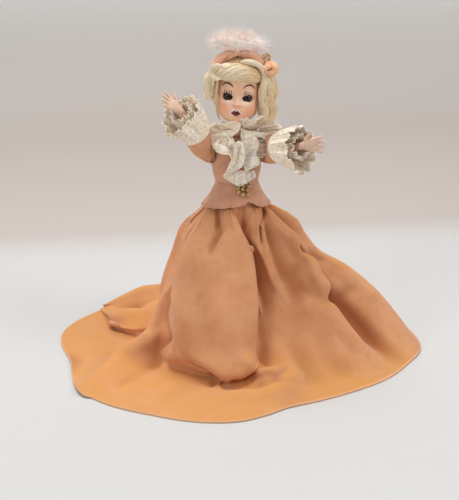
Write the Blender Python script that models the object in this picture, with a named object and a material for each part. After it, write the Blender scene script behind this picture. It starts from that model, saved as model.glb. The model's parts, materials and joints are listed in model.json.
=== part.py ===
# Topsy turvy doll: two half dolls joined at the waist, and one long skirt that falls over the lower one.
# Metres, +Z up. The origin is on the floor under the dolls' axis, and both dolls face -Y.

import bpy
import bmesh
from math import cos, floor, pi, radians, sin, sqrt
from mathutils import Matrix, Vector

for item in list(bpy.data.objects):
    bpy.data.objects.remove(item, do_unlink=True)

# Clearances.
GAP = 0.0003
SLEEVE_CLEARANCE = 0.0009
OVERRUN = 0.004

# Each half doll, measured up its own axis from the waist plane between the two.
HALF_HEIGHT = 0.0915
UPPER_NECK_SHIFT = -0.0015
LOWER_NECK_SHIFT = 0.0
UPPER_HEAD_LEAN = radians(5)
UPPER_HEAD_TURN = radians(-10)
UPPER_RIGHT_ARM_LEAN = radians(27)
UPPER_LEFT_ARM_LEAN = radians(73)
LOWER_ARM_LEAN = 0.0
EYE_CLOSING = radians(50)

# Torso shell of hard plastic.
CHEST_HALF_WIDTH = 0.0136
CHEST_HALF_DEPTH = 0.0100
TORSO_WALL = 0.0015
NECK_OPENING_RADIUS = 0.0039
SHOULDER_DROP = 0.0115
SHOULDER_FACE_DEPTH = 0.0012
ARMHOLE_RADIUS = 0.0068
ARMHOLE_DEPTH = 0.0040
PLUG_HALF_HEIGHT = 0.0080

# Rows of height, half width and half depth, as shares of the torso's height and of the chest.
torso_shares = (
    (0.00, 1.04, 1.06),
    (0.13, 0.99, 1.01),
    (0.29, 0.86, 0.87),
    (0.39, 0.815, 0.83),
    (0.54, 0.95, 0.96),
    (0.67, 1.00, 1.00),
    (0.80, 0.97, 0.93),
    (0.90, 0.86, 0.80),
    (0.96, 0.62, 0.64),
    (1.00, 0.40, 0.51),
)

# Head shell, measured from the centre of its neck ball.
HEAD_TOP = 0.0380
HEAD_HALF_WIDTH = 0.0125
HEAD_FRONT = 0.0146
HEAD_BACK = 0.0136
HEAD_WALL = 0.0015
NECK_BALL_RADIUS = 0.0046
NECK_BALL_TILTS = (radians(-49), radians(-24), 0)
NECK_RADIUS = 0.0044
HOOK_HOLE_RADIUS = 0.0017
NOSE_RISE = 0.0026
NOSE_SPREAD = 0.0022
LIP_RISE = 0.0009
LIP_SPREAD = 0.0028
nose_height_share = 0.50
lip_height_share = 0.385

# Rows of height, half width, front and back, as shares of the head's own sizes.
head_shares = (
    (0.185, 0.37, 0.32, 0.34),
    (0.215, 0.50, 0.80, 0.45),
    (0.26, 0.66, 0.925, 0.64),
    (0.34, 0.81, 0.98, 0.82),
    (0.42, 0.92, 1.00, 0.93),
    (0.50, 0.98, 1.00, 0.98),
    (0.58, 1.00, 0.98, 1.00),
    (0.68, 1.00, 0.98, 1.00),
    (0.79, 0.95, 0.93, 0.97),
    (0.88, 0.82, 0.80, 0.85),
    (0.955, 0.56, 0.55, 0.61),
    (0.992, 0.26, 0.26, 0.30),
)

# Sleep eyes: two eyeballs and a weighted rocker on one axle.
EYE_RADIUS = 0.0032
EYE_SPACING = 0.0049
EYE_DEPTH = 0.0096
EYE_HEIGHT = 0.0217
EYE_OPENING_HALF_WIDTH = 0.0027
EYE_OPENING_HALF_HEIGHT = 0.0019
ROCKER_THICKNESS = 0.0012
WEIGHT_DROP = 0.0070
WEIGHT_SETBACK = 0.0015
WEIGHT_RADIUS = 0.0019
WEIGHT_HALF_LENGTH = 0.0040

# Wig of mohair. Each lobe's centre and radii are shares of the wig's top height.
WIG_TOP = 0.0435
upper_lobe_shares = (
    (0, 0.057, 0.678, 0.336, 0.340, 0.322),
    (-0.023, -0.218, 0.839, 0.264, 0.106, 0.106),
    (-0.331, -0.092, 0.609, 0.115, 0.149, 0.172),
    (-0.290, 0, 0.425, 0.083, 0.149, 0.161),
    (0.336, -0.069, 0.644, 0.115, 0.161, 0.184),
    (0.386, -0.057, 0.402, 0.129, 0.138, 0.161),
    (0.379, -0.046, 0.218, 0.115, 0.115, 0.120),
    (-0.253, -0.172, 0.747, 0.126, 0.126, 0.126),
    (0.264, -0.172, 0.747, 0.126, 0.126, 0.126),
    (0, 0.218, 0.368, 0.299, 0.172, 0.253),
)
lower_lobe_shares = (
    (0.02, 0.057, 0.678, 0.336, 0.340, 0.380),
    (-0.023, -0.218, 0.800, 0.264, 0.106, 0.106),
    (-0.320, -0.069, 0.520, 0.106, 0.149, 0.260),
    (0.320, -0.069, 0.520, 0.106, 0.149, 0.260),
    (0, 0.218, 0.368, 0.287, 0.172, 0.230),
)

# Hat of felt on the upper wig: a band over the crown, a side roll, beads and feathers.
BAND_DROP = 0.0155
BAND_CENTRE_SETBACK = -0.0010
BAND_INNER_RADIUS = 0.0145
BAND_THICKNESS = 0.0045
BAND_HALF_BREADTH = 0.0055
BAND_STEPS = 9
BAND_START = radians(35)
BAND_END = radians(158)
BAND_BEADS_AT = radians(50)
ROLL_SIDE = 0.0175
ROLL_FORWARD = 0.0045
ROLL_RISE = 0.0085
ROLL_RADII = Vector((0.0055, 0.0050, 0.0045))
HAT_BEAD_RADIUS = 0.0009
HAT_BEADS_ROUND = 5
bead_rise_share = 0.7
bead_ring_share = 1.3
FEATHER_INSET = 0.0010
FEATHER_HALF_DEPTH = 0.0080
FEATHER_HALF_HEIGHT = 0.0068
FEATHER_OFFSET = -0.0025
FEATHER_LIFT = 0.0036

# Arms, measured along each arm's own axis from its shoulder.
ARM_SPLAY = radians(31)
ARM_LENGTH = 0.0360
ARM_RADIUS = 0.0043
WRIST_BEND = radians(15)
PALM_TURN = radians(20)
HAND_LENGTH = 0.0150
PALM_HALF_WIDTH = 0.0037
PALM_HALF_THICKNESS = 0.0015
FINGER_LENGTH = 0.0075
FINGER_RADIUS = 0.0009
arm_shares = (
    (-0.11, 0.40),
    (-0.07, 0.80),
    (0.03, 1.0),
    (0.30, 0.92),
    (0.70, 0.70),
    (0.94, 0.49),
    (1.00, 0.46),
)
palm_shares = ((0.16, 1.0, 0.72), (0.36, 0.95, 0.98), (0.52, 0.72, 1.0), (0.57, 0.50, 0.90))

# Place across the palm, reach from the wrist, spread in degrees, and length, each but the spread a share.
finger_shares = (
    (0.75, 0.48, 17, 0.92),
    (0.25, 0.50, 6, 1.0),
    (-0.27, 0.50, -6, 0.95),
    (-0.75, 0.46, -19, 0.80),
    (0.70, 0.20, 52, 0.85),
)

# Stringing.
ELASTIC_RADIUS = 0.00045
KNOT_RADIUS = 0.0012
WIRE_RADIUS = 0.0004
HOOK_LOOP_RADIUS = 0.0014
HOOK_HEAD_RADIUS = 0.0025
HOOK_HEAD_THICKNESS = 0.0010

# Clothes of the half dolls.
BODICE_WALL = 0.0008
BODICE_BOTTOM = 0.0058
bodice_top_share = 0.975
SLEEVE_WALL = 0.0009
UPPER_SLEEVE_RADIUS = 0.0080
LOWER_SLEEVE_RADIUS = 0.0062
SLEEVE_START = 0.0015
SLEEVE_END = 0.0265
sleeve_shares = ((0.0, 0.92), (0.15, 1.0), (0.5, 1.03), (0.78, 0.97), (0.9, 0.80))
LACE_WALL = 0.0008
CUFF_START = 0.0175
CUFF_END = 0.0340
CUFF_RADIUS = 0.0128
CUFF_WAVE = 0.0013
CUFF_WAVES = 7
cuff_curve_share = 0.8
COLLAR_INNER_RADIUS = 0.0062
COLLAR_HALF_WIDTH = 0.0145
COLLAR_HALF_DEPTH = 0.0155
COLLAR_RISE = 0.0026
COLLAR_FRONT_RISE = 0.0026
COLLAR_WAVE = 0.0012
COLLAR_WAVES = 9
JABOT_DROP = 0.0075
JABOT_HALF_WIDTH = 0.0113
JABOT_THICKNESS = 0.0022
JABOT_WAVE = 0.0012
JABOT_WAVES = 3
JABOT_SHIFT = -0.0015

# Rows of height between the jabot's ends, half width, and how much of its shift a row has.
jabot_shares = (
    (0.0, 0.16, 1.0),
    (0.07, 0.50, 0.8),
    (0.16, 0.78, 0.4),
    (0.35, 0.92, 0.2),
    (0.60, 1.0, 0.0),
    (0.85, 0.97, 0.0),
    (1.0, 0.84, 0.0),
)
PEPLUM_TOP = 0.0096
PEPLUM_DROP = 0.0052
PEPLUM_FRONT_LIFT = 0.0016
PEPLUM_FLARE = 0.0060
PEPLUM_WAVE = 0.0007
PEPLUM_WAVES = 7
PEPLUM_WALL = 0.0008
peplum_curve_share = 1.4
BEAD_RADIUS = 0.00135
BEAD_PAD_THICKNESS = 0.0007
BEAD_PAD_HALF_WIDTH = 0.0040
BEAD_PAD_HALF_HEIGHT = 0.0047
BEAD_CLUSTER_HALF_HEIGHT = 0.0056
BEAD_CENTRE_OFFSET = 0.0023
bead_sink_share = 0.35
pad_narrowing_share = 0.75

# Each bead's place from the cluster's centre, in bead diameters.
bead_place_shares = (
    (0.42, 1.40),
    (1.18, 1.32),
    (-0.62, 0.86),
    (0.16, 0.48),
    (1.10, 0.44),
    (-1.04, -0.02),
    (-0.18, -0.40),
    (0.84, -0.52),
    (-0.74, -1.06),
    (0.26, -1.36),
    (1.20, -1.42),
)

# Skirt: a gathered circle of cloth, its folds running from the waist to the hem.
SKIRT_SEAM_HEIGHT = 0.0055
SKIRT_REACH = 0.1000
SKIRT_WALL = 0.0010
LINING_WALL = 0.0008
COLUMNS_TO_A_FOLD = 2
skirt_rows = (0, 1, 2, 3, 4, 5, 6, 7, 8, 8.5, 9)
lining_rows = (1, 2, 3, 4, 5, 6)
turn_shares = (0, 0.02, 0.12, 0.3, 0.5, 0.67, 0.81, 0.9, 0.96, 1)
nudge_share = 0.02

# Each fold's angles in degrees from the front towards +X, at the waist and the hem or at all nine levels
# below the waist, then its reach and height at those levels, as shares of the skirt's reach and top height.
fold_shares = (
    ((-180, -158), (0.16, 0.26, 0.36, 0.48, 0.62, 0.78, 0.92, 1.03, 1.14),
     (0.94, 0.8, 0.63, 0.43, 0.251, 0.11, 0.046, 0.023, 0.01)),
    ((-156, -154, -152, -150, -149, -147, -142, -138, -134),
     (0.2, 0.32, 0.42, 0.54, 0.66, 0.76, 0.87, 0.97, 1.09),
     (0.945, 0.82, 0.66, 0.474, 0.309, 0.227, 0.196, 0.134, 0.046)),
    ((-148, -146, -144, -143, -143, -141, -134, -131, -132.5),
     (0.18, 0.28, 0.37, 0.46, 0.57, 0.68, 0.8, 0.93, 1.08),
     (0.94, 0.81, 0.639, 0.433, 0.258, 0.17, 0.113, 0.082, 0.039)),
    ((-141, -139, -137, -136, -134, -130, -124, -123, -131),
     (0.17, 0.27, 0.35, 0.43, 0.53, 0.63, 0.74, 0.9, 1.09),
     (0.94, 0.81, 0.639, 0.428, 0.237, 0.16, 0.124, 0.082, 0.029)),
    ((-134, -132, -130, -127, -123, -118, -115, -121, -129.5),
     (0.17, 0.27, 0.35, 0.415, 0.47, 0.54, 0.69, 0.88, 1.11),
     (0.94, 0.81, 0.639, 0.428, 0.206, 0.062, 0.019, 0.016, 0.01)),
    ((-121, -118, -113, -109, -107, -104, -102, -105, -110),
     (0.22, 0.345, 0.41, 0.47, 0.49, 0.53, 0.72, 0.92, 1.145),
     (0.94, 0.82, 0.649, 0.454, 0.237, 0.067, 0.021, 0.016, 0.01)),
    ((-113.5, -110.5, -105, -102, -98, -93, -90, -89, -88),
     (0.208, 0.325, 0.375, 0.445, 0.485, 0.525, 0.72, 0.88, 1.025),
     (0.938, 0.812, 0.639, 0.438, 0.237, 0.093, 0.031, 0.019, 0.01)),
    ((-106, -103, -97, -94.5, -89, -83, -82, -76, -65.3),
     (0.213, 0.32, 0.362, 0.44, 0.507, 0.565, 0.72, 0.84, 1.072),
     (0.94, 0.81, 0.619, 0.423, 0.258, 0.165, 0.093, 0.047, 0.014)),
    ((-94, -91, -87, -82, -78, -75, -70, -64, -60),
     (0.165, 0.255, 0.325, 0.4, 0.465, 0.505, 0.56, 0.74, 1.035),
     (0.93, 0.8, 0.629, 0.423, 0.216, 0.088, 0.025, 0.027, 0.01)),
    ((-80, -76, -71, -63, -58, -59, -62, -56, -53),
     (0.197, 0.28, 0.353, 0.428, 0.474, 0.5, 0.51, 0.72, 1.01),
     (0.945, 0.82, 0.67, 0.454, 0.237, 0.113, 0.027, 0.021, 0.01)),
    ((-58, -56, -53, -49.5, -48, -47, -42, -40, -38),
     (0.19, 0.275, 0.36, 0.43, 0.47, 0.495, 0.44, 0.64, 0.952),
     (0.94, 0.81, 0.64, 0.43, 0.24, 0.093, 0.021, 0.023, 0.01)),
    ((-30, -29, -28, -26, -24, -22, -20, -20, -21),
     (0.175, 0.26, 0.34, 0.44, 0.485, 0.515, 0.42, 0.64, 0.928),
     (0.94, 0.81, 0.64, 0.43, 0.232, 0.077, 0.016, 0.047, 0.01)),
    ((-14, -2, 8, 11, 9, 3, -2, -3, -8), (0.165, 0.195, 0.27, 0.355, 0.43, 0.51, 0.45, 0.675, 0.9),
     (0.94, 0.825, 0.64, 0.43, 0.23, 0.103, 0.026, 0.062, 0.01)),
    ((6, 5, 15, 17, 15, 13, 9, 5, 2), (0.146, 0.154, 0.2, 0.265, 0.35, 0.45, 0.57, 0.685, 0.85),
     (0.933, 0.804, 0.629, 0.423, 0.227, 0.134, 0.113, 0.072, 0.01)),
    ((24, 24, 26, 26, 25, 23, 19, 16, 14), (0.155, 0.17, 0.205, 0.28, 0.38, 0.5, 0.605, 0.68, 0.795),
     (0.938, 0.814, 0.639, 0.433, 0.247, 0.144, 0.124, 0.077, 0.01)),
    ((44, 43, 42, 41, 38, 35, 31, 30, 31), (0.175, 0.21, 0.27, 0.34, 0.43, 0.53, 0.64, 0.74, 0.82),
     (0.94, 0.81, 0.64, 0.44, 0.268, 0.155, 0.082, 0.041, 0.01)),
    ((57, 46), (0.17, 0.2, 0.29, 0.4, 0.52, 0.66, 0.75, 0.82, 0.885),
     (0.93, 0.8, 0.64, 0.46, 0.29, 0.14, 0.062, 0.031, 0.01)),
    ((68, 58), (0.2, 0.31, 0.43, 0.54, 0.65, 0.77, 0.85, 0.91, 0.965),
     (0.945, 0.82, 0.68, 0.51, 0.36, 0.21, 0.113, 0.052, 0.01)),
    ((78, 71), (0.18, 0.285, 0.38, 0.49, 0.62, 0.78, 0.89, 0.97, 1.05),
     (0.93, 0.81, 0.651, 0.46, 0.31, 0.16, 0.093, 0.046, 0.01)),
    ((90, 85), (0.25, 0.38, 0.5, 0.68, 0.86, 0.99, 1.05, 1.1, 1.155),
     (0.94, 0.825, 0.67, 0.56, 0.4, 0.24, 0.155, 0.082, 0.01)),
    ((106, 108), (0.175, 0.28, 0.4, 0.54, 0.7, 0.86, 0.98, 1.07, 1.15),
     (0.94, 0.81, 0.651, 0.47, 0.29, 0.14, 0.067, 0.031, 0.01)),
    ((125, 128), (0.21, 0.34, 0.46, 0.6, 0.76, 0.9, 1, 1.07, 1.13),
     (0.945, 0.82, 0.67, 0.51, 0.351, 0.2, 0.113, 0.052, 0.01)),
    ((145, 150), (0.165, 0.27, 0.38, 0.5, 0.65, 0.8, 0.93, 1.03, 1.12),
     (0.94, 0.8, 0.63, 0.44, 0.26, 0.12, 0.052, 0.026, 0.01)),
    ((162, 175), (0.21, 0.33, 0.44, 0.57, 0.72, 0.87, 0.98, 1.05, 1.12),
     (0.945, 0.82, 0.66, 0.48, 0.31, 0.17, 0.103, 0.046, 0.01)),
)

# Sizes that follow from those above.
NECK_PIVOT = HALF_HEIGHT - WIG_TOP
TORSO_TOP = NECK_PIVOT - sqrt((NECK_BALL_RADIUS + GAP) ** 2 - NECK_OPENING_RADIUS**2)
SHOULDER_HEIGHT = NECK_PIVOT - SHOULDER_DROP
SHOULDER_FACE = CHEST_HALF_WIDTH - SHOULDER_FACE_DEPTH
SHOULDER_REACH = CHEST_HALF_WIDTH + KNOT_RADIUS
BODICE_GROWTH = GAP + BODICE_WALL
SLEEVE_CUT = CHEST_HALF_WIDTH + BODICE_GROWTH + SLEEVE_CLEARANCE - SHOULDER_REACH
BEAD_CENTRE_HEIGHT = PEPLUM_TOP + BEAD_CLUSTER_HALF_HEIGHT
JABOT_BOTTOM = BEAD_CENTRE_HEIGHT + BEAD_CLUSTER_HALF_HEIGHT
JABOT_TOP = NECK_PIVOT - JABOT_DROP
SKIRT_TOP = HALF_HEIGHT + SKIRT_SEAM_HEIGHT
BAND_CENTRE_HEIGHT = WIG_TOP - BAND_DROP
BAND_OUTER_RADIUS = BAND_INNER_RADIUS + BAND_THICKNESS
FEATHER_RADII = Vector((BAND_OUTER_RADIUS - FEATHER_INSET, FEATHER_HALF_DEPTH, FEATHER_HALF_HEIGHT))
ROLL_CENTRE = Vector((ROLL_SIDE, -ROLL_FORWARD, BAND_CENTRE_HEIGHT + ROLL_RISE))

# Finishes: colour, roughness and metallic value.
FINISHES = {
    "plastic": ((0.86, 0.60, 0.46), 0.45, 0),
    "eye": ((0.05, 0.02, 0.015), 0.15, 0),
    "lead": ((0.30, 0.30, 0.32), 0.5, 0.8),
    "wood": ((0.62, 0.45, 0.28), 0.7, 0),
    "elastic": ((0.80, 0.76, 0.68), 0.8, 0),
    "wire": ((0.55, 0.55, 0.55), 0.35, 1),
    "mohair": ((0.86, 0.74, 0.46), 0.7, 0),
    "pink_felt": ((0.78, 0.50, 0.43), 0.95, 0),
    "peach_cloth": ((0.85, 0.52, 0.33), 0.9, 0),
    "lining_cloth": ((0.80, 0.55, 0.40), 0.85, 0),
    "lace": ((0.88, 0.82, 0.72), 0.9, 0),
    "gold_bead": ((0.75, 0.58, 0.30), 0.3, 0.6),
    "feather": ((0.93, 0.78, 0.74), 0.9, 0),
}


def material(finish):
    """The finish's Principled material, made the first time it is asked for."""
    if finish in bpy.data.materials:
        return bpy.data.materials[finish]
    colour, roughness, metallic = FINISHES[finish]
    made = bpy.data.materials.new(finish)
    made.use_nodes = True
    shader = made.node_tree.nodes["Principled BSDF"]
    shader.inputs["Base Color"].default_value = (*colour, 1)
    shader.inputs["Roughness"].default_value = roughness
    shader.inputs["Metallic"].default_value = metallic
    return made


def pivot(name, parent=None, place=(0, 0, 0), turn=None):
    """An empty that carries pieces, placed on a joint's axis."""
    empty = bpy.data.objects.new(name, None)
    bpy.context.scene.collection.objects.link(empty)
    empty.parent = parent
    empty.matrix_basis = Matrix.Translation(place) @ (turn or Matrix.Identity(4))
    return empty


def new_piece(name, mesh, parent, finish):
    """An object under its pivot, shaded smooth with its real edges sharp."""
    mesh.shade_smooth()
    mesh.set_sharp_from_angle(angle=radians(45))
    mesh.materials.append(material(finish))
    piece = bpy.data.objects.new(name, mesh)
    bpy.context.scene.collection.objects.link(piece)
    piece.parent = parent
    return piece


def close_end(bm, row, tip, outward):
    """A fan from a row to its tip, or to the row's middle."""
    middle = tip or sum((vert.co for vert in row), Vector()) / len(row)
    centre = bm.verts.new(middle)
    for first, second in zip(row, row[1:] + row[:1]):
        bm.faces.new((centre, first, second) if outward else (centre, second, first))


def loft(name, rings, parent, finish, loop=False, tips=(None, None)):
    """A skin over rings that each run anticlockwise seen from the last one; a loop joins last to first."""
    bm = bmesh.new()
    rows = [[bm.verts.new(point) for point in ring] for ring in rings]
    pairs = list(zip(rows, rows[1:]))
    if loop:
        pairs.append((rows[-1], rows[0]))
    for lower, upper in pairs:
        for here in range(len(lower)):
            there = (here + 1) % len(lower)
            bm.faces.new((lower[here], lower[there], upper[there], upper[here]))
    if not loop:
        close_end(bm, rows[0], tips[0], False)
        close_end(bm, rows[-1], tips[1], True)
    mesh = bpy.data.meshes.new(name)
    bm.to_mesh(mesh)
    bm.free()
    return new_piece(name, mesh, parent, finish)


def angles(count):
    """Evenly spaced angles, anticlockwise from +X."""
    return [2 * pi * step / count for step in range(count)]


def oval(height, half_width, front, back, count, shift=0):
    """A level ring, its front towards -Y."""
    return [
        Vector((shift + half_width * cos(angle), (back if sin(angle) > 0 else front) * sin(angle), height))
        for angle in angles(count)
    ]


def ball(name, centre, radii, parent, finish, count=12, rows=6):
    """A closed ellipsoid."""
    rings = []
    for row in range(1, rows):
        tilt = pi * row / rows - pi / 2
        wide, deep, up = radii[0] * cos(tilt), radii[1] * cos(tilt), radii[2] * sin(tilt)
        rings.append([centre + Vector((wide * cos(angle), deep * sin(angle), up)) for angle in angles(count)])
    reach = Vector((0, 0, radii[2]))
    return loft(name, rings, parent, finish, tips=(centre - reach, centre + reach))


def rod(name, start, end, radius, parent, finish, count=12):
    """A straight closed cylinder between two points."""
    axis = Vector(end) - Vector(start)
    turn = Vector((0, 0, 1)).rotation_difference(axis.normalized()).to_matrix()
    circle = [turn @ Vector((radius * cos(angle), radius * sin(angle), 0)) for angle in angles(count)]
    rings = [[Vector(point) + offset for offset in circle] for point in (start, end)]
    return loft(name, rings, parent, finish)


def combine(piece, tool, operation="DIFFERENCE"):
    """Cuts a helper solid from a piece, or joins it on, and removes the helper."""
    step = piece.modifiers.new("step", "BOOLEAN")
    step.operation = operation
    step.solver = "EXACT"
    step.object = tool
    bpy.context.view_layer.update()
    mesh = bpy.data.meshes.new_from_object(piece.evaluated_get(bpy.context.evaluated_depsgraph_get()))
    piece.modifiers.remove(step)
    piece.data = mesh
    bpy.data.objects.remove(tool, do_unlink=True)


def mirror(piece):
    """Turns a piece of the left side into its right hand twin, about its own pivot."""
    piece.data.transform(Matrix.Scale(-1, 4, (1, 0, 0)))
    piece.data.flip_normals()


def between(rows, share):
    """A table's row at a share of its run, straight between the rows given."""
    for low, high in zip(rows, rows[1:]):
        if share <= high[0]:
            part = (share - low[0]) / (high[0] - low[0])
            return [a + (b - a) * part for a, b in zip(low, high)]
    return list(rows[-1])


def torso_outline(height, grow=0):
    """Half width and half depth of the torso at a height, grown outwards."""
    row = between(torso_shares, height / TORSO_TOP)
    return row[1] * CHEST_HALF_WIDTH + grow, row[2] * CHEST_HALF_DEPTH + grow


def torso_shift(half, height):
    """How far the torso's middle has drifted sideways at a height."""
    return half["neck_shift"] * (height / TORSO_TOP) ** 2


def torso_ring(half, height, grow=0):
    half_width, half_depth = torso_outline(height, grow)
    return oval(height, half_width, half_depth, half_depth, half["sides"], torso_shift(half, height))


def front_of(half, height, x, grow=0):
    """Y of the torso's front surface at a height and a sideways place."""
    half_width, half_depth = torso_outline(height, grow)
    across = (x - torso_shift(half, height)) / half_width
    return -half_depth * sqrt(max(0, 1 - across * across))


def shoulder_cutters(half, inner_face, radius):
    """Two cylinders along the shoulder axis, outwards from an inner face on each side."""
    shift = torso_shift(half, SHOULDER_HEIGHT)
    outer = SHOULDER_REACH + OVERRUN
    for side in (-1, 1):
        start = (shift + side * inner_face, 0, SHOULDER_HEIGHT)
        end = (shift + side * outer, 0, SHOULDER_HEIGHT)
        yield rod("cutter", start, end, radius, half["root"], "plastic")


def make_torso(half):
    """The hollow body shell, open at the waist and the neck, with a flat and a cord hole at each shoulder."""
    heights = [max(row[0] * TORSO_TOP, GAP) for row in torso_shares]
    outer = [torso_ring(half, height) for height in heights]
    inner = [torso_ring(half, height, -TORSO_WALL) for height in heights[:-1]]
    neck = oval(TORSO_TOP, NECK_OPENING_RADIUS, NECK_OPENING_RADIUS, NECK_OPENING_RADIUS,
                half["sides"], half["neck_shift"])
    torso = loft(half["name"] + "_torso", outer + [neck] + inner[::-1], half["root"], "plastic", loop=True)
    for cutter in shoulder_cutters(half, SHOULDER_FACE, ARMHOLE_RADIUS):
        combine(torso, cutter)
    reach = SHOULDER_REACH + OVERRUN
    combine(torso, rod("cutter", (-reach, 0, SHOULDER_HEIGHT), (reach, 0, SHOULDER_HEIGHT),
                       ELASTIC_RADIUS + GAP, half["root"], "plastic", 6))


def make_waist_plug(root):
    """The wooden plug that fills both waists."""
    half_width, half_depth = torso_outline(PLUG_HALF_HEIGHT, -TORSO_WALL - GAP)
    rings = [oval(HALF_HEIGHT + side * PLUG_HALF_HEIGHT, half_width, half_depth, half_depth, 20)
             for side in (-1, 1)]
    loft("waist_plug", rings, root, "wood")


def make_bodice(half, finish):
    """The fitted cloth bodice, with armholes."""
    shares = [BODICE_BOTTOM / TORSO_TOP]
    shares += [row[0] for row in torso_shares if BODICE_BOTTOM / TORSO_TOP < row[0] < bodice_top_share]
    heights = [share * TORSO_TOP for share in shares + [bodice_top_share]]
    outer = [torso_ring(half, height, BODICE_GROWTH) for height in heights]
    inner = [torso_ring(half, height, GAP) for height in heights]
    bodice = loft(half["name"] + "_bodice", outer + inner[::-1], half["root"], finish, loop=True)
    for cutter in shoulder_cutters(half, SHOULDER_FACE - ARMHOLE_DEPTH, ARMHOLE_RADIUS):
        combine(bodice, cutter)


def make_elastic(half):
    """The cord that strings both arms, with a knot in each shoulder."""
    shift = torso_shift(half, SHOULDER_HEIGHT)
    ends = [Vector((shift + side * SHOULDER_REACH, 0, SHOULDER_HEIGHT)) for side in (-1, 1)]
    elastic = rod(half["name"] + "_arm_elastic", ends[0], ends[1], ELASTIC_RADIUS, half["root"], "elastic", 8)
    for end in ends:
        knot = ball("knot", end, (KNOT_RADIUS,) * 3, half["root"], "elastic", 8, 5)
        combine(elastic, knot, "UNION")


def make_neck_hook(half):
    """The wire hook that hangs in the neck and rides on the arm elastic."""
    shift = torso_shift(half, SHOULDER_HEIGHT)
    loop_centre = Vector((shift, 0, SHOULDER_HEIGHT))
    rings = []
    for angle in angles(10):
        middle = loop_centre + HOOK_LOOP_RADIUS * Vector((0, cos(angle), sin(angle)))
        outward = Vector((0, cos(angle), sin(angle))) * WIRE_RADIUS
        across = Vector((1, 0, 0)) * WIRE_RADIUS
        rings.append([middle + outward * cos(turn) + across * sin(turn) for turn in angles(6)])
    hook = loft(half["name"] + "_neck_hook", rings, half["root"], "wire", loop=True)
    seat = NECK_PIVOT - head_floor() + GAP + HOOK_HEAD_RADIUS * sin(half["head_lean"])
    top = Vector((half["neck_shift"], 0, seat + HOOK_HEAD_THICKNESS / 2))
    bottom = loop_centre + Vector((0, 0, HOOK_LOOP_RADIUS))
    combine(hook, rod("wire", bottom, top, WIRE_RADIUS, half["root"], "wire", 6), "UNION")
    disc_foot = Vector((half["neck_shift"], 0, seat))
    disc_top = disc_foot + Vector((0, 0, HOOK_HEAD_THICKNESS))
    combine(hook, rod("disc", disc_foot, disc_top, HOOK_HEAD_RADIUS, half["root"], "wire", 8), "UNION")


def head_floor():
    """How far the floor inside the neck ball lies below the ball's centre."""
    return sqrt(NECK_BALL_RADIUS**2 - HOOK_HOLE_RADIUS**2) - HEAD_WALL


def face_relief(x, height):
    """How far the nose and the lips stand out of the face."""
    nose = (x / NOSE_SPREAD) ** 2 + ((height - nose_height_share * HEAD_TOP) / NOSE_SPREAD) ** 2
    lips = (x / LIP_SPREAD) ** 2 + ((height - lip_height_share * HEAD_TOP) / NOSE_SPREAD) ** 2
    return NOSE_RISE / (1 + nose) ** 2 + LIP_RISE / (1 + lips) ** 2


def head_ring(row, count, grow=0, relief=False):
    height = row[0] * HEAD_TOP
    ring = oval(height, row[1] * HEAD_HALF_WIDTH + grow, row[2] * HEAD_FRONT + grow,
                row[3] * HEAD_BACK + grow, count)
    for point in ring:
        if relief and point.y < 0:
            point.y -= face_relief(point.x, height)
    return ring


def head_solid(name, pivot_empty, count, grow):
    """The head's outer shape as a solid, grown outwards, to clear a space for it."""
    rings = [head_ring(row, count, grow, grow > 0) for row in head_shares]
    return loft(name, rings, pivot_empty, "plastic", tips=(None, Vector((0, 0, HEAD_TOP + grow))))


def make_head(half, neck):
    """The hollow head with its neck ball, the hook's hole and two eye openings."""
    count = half["head_sides"]
    ball_rings = []
    for tilt in NECK_BALL_TILTS:
        radius = NECK_BALL_RADIUS * cos(tilt)
        ball_rings.append(oval(NECK_BALL_RADIUS * sin(tilt), radius, radius, radius, count))
    hole_foot = -sqrt(NECK_BALL_RADIUS**2 - HOOK_HOLE_RADIUS**2)
    hole = [oval(height, HOOK_HOLE_RADIUS, HOOK_HOLE_RADIUS, HOOK_HOLE_RADIUS, count)
            for height in (-head_floor(), hole_foot)]
    outer = ball_rings + [head_ring(row, count, 0, True) for row in head_shares]
    bore = NECK_RADIUS - HEAD_WALL
    cavity = [head_ring(row, count, -HEAD_WALL) for row in head_shares[-2:1:-2]]
    neck_bore = [oval(height, bore, bore, bore, count)
                 for height in (head_shares[0][0] * HEAD_TOP + HEAD_WALL, -head_floor() + GAP)]
    rings = cavity + neck_bore + hole + outer
    tips = (Vector((0, 0, HEAD_TOP - HEAD_WALL)), Vector((0, 0, HEAD_TOP)))
    head = loft(half["name"] + "_head", rings, neck, "plastic", tips=tips)
    for side in (-1, 1):
        centre = Vector((side * EYE_SPACING, -EYE_DEPTH, EYE_HEIGHT))
        socket = ball("cutter", centre, (EYE_RADIUS + GAP,) * 3, neck, "plastic", 12, 8)
        rim = [
            centre + Vector((EYE_OPENING_HALF_WIDTH * cos(a), 0, EYE_OPENING_HALF_HEIGHT * sin(a)))
            for a in angles(10)
        ]
        rings = [[point - Vector((0, reach, 0)) for point in rim]
                 for reach in (EYE_RADIUS / 3, EYE_RADIUS + OVERRUN)]
        combine(socket, loft("opening", rings, neck, "plastic"), "UNION")
        combine(head, socket)


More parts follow.
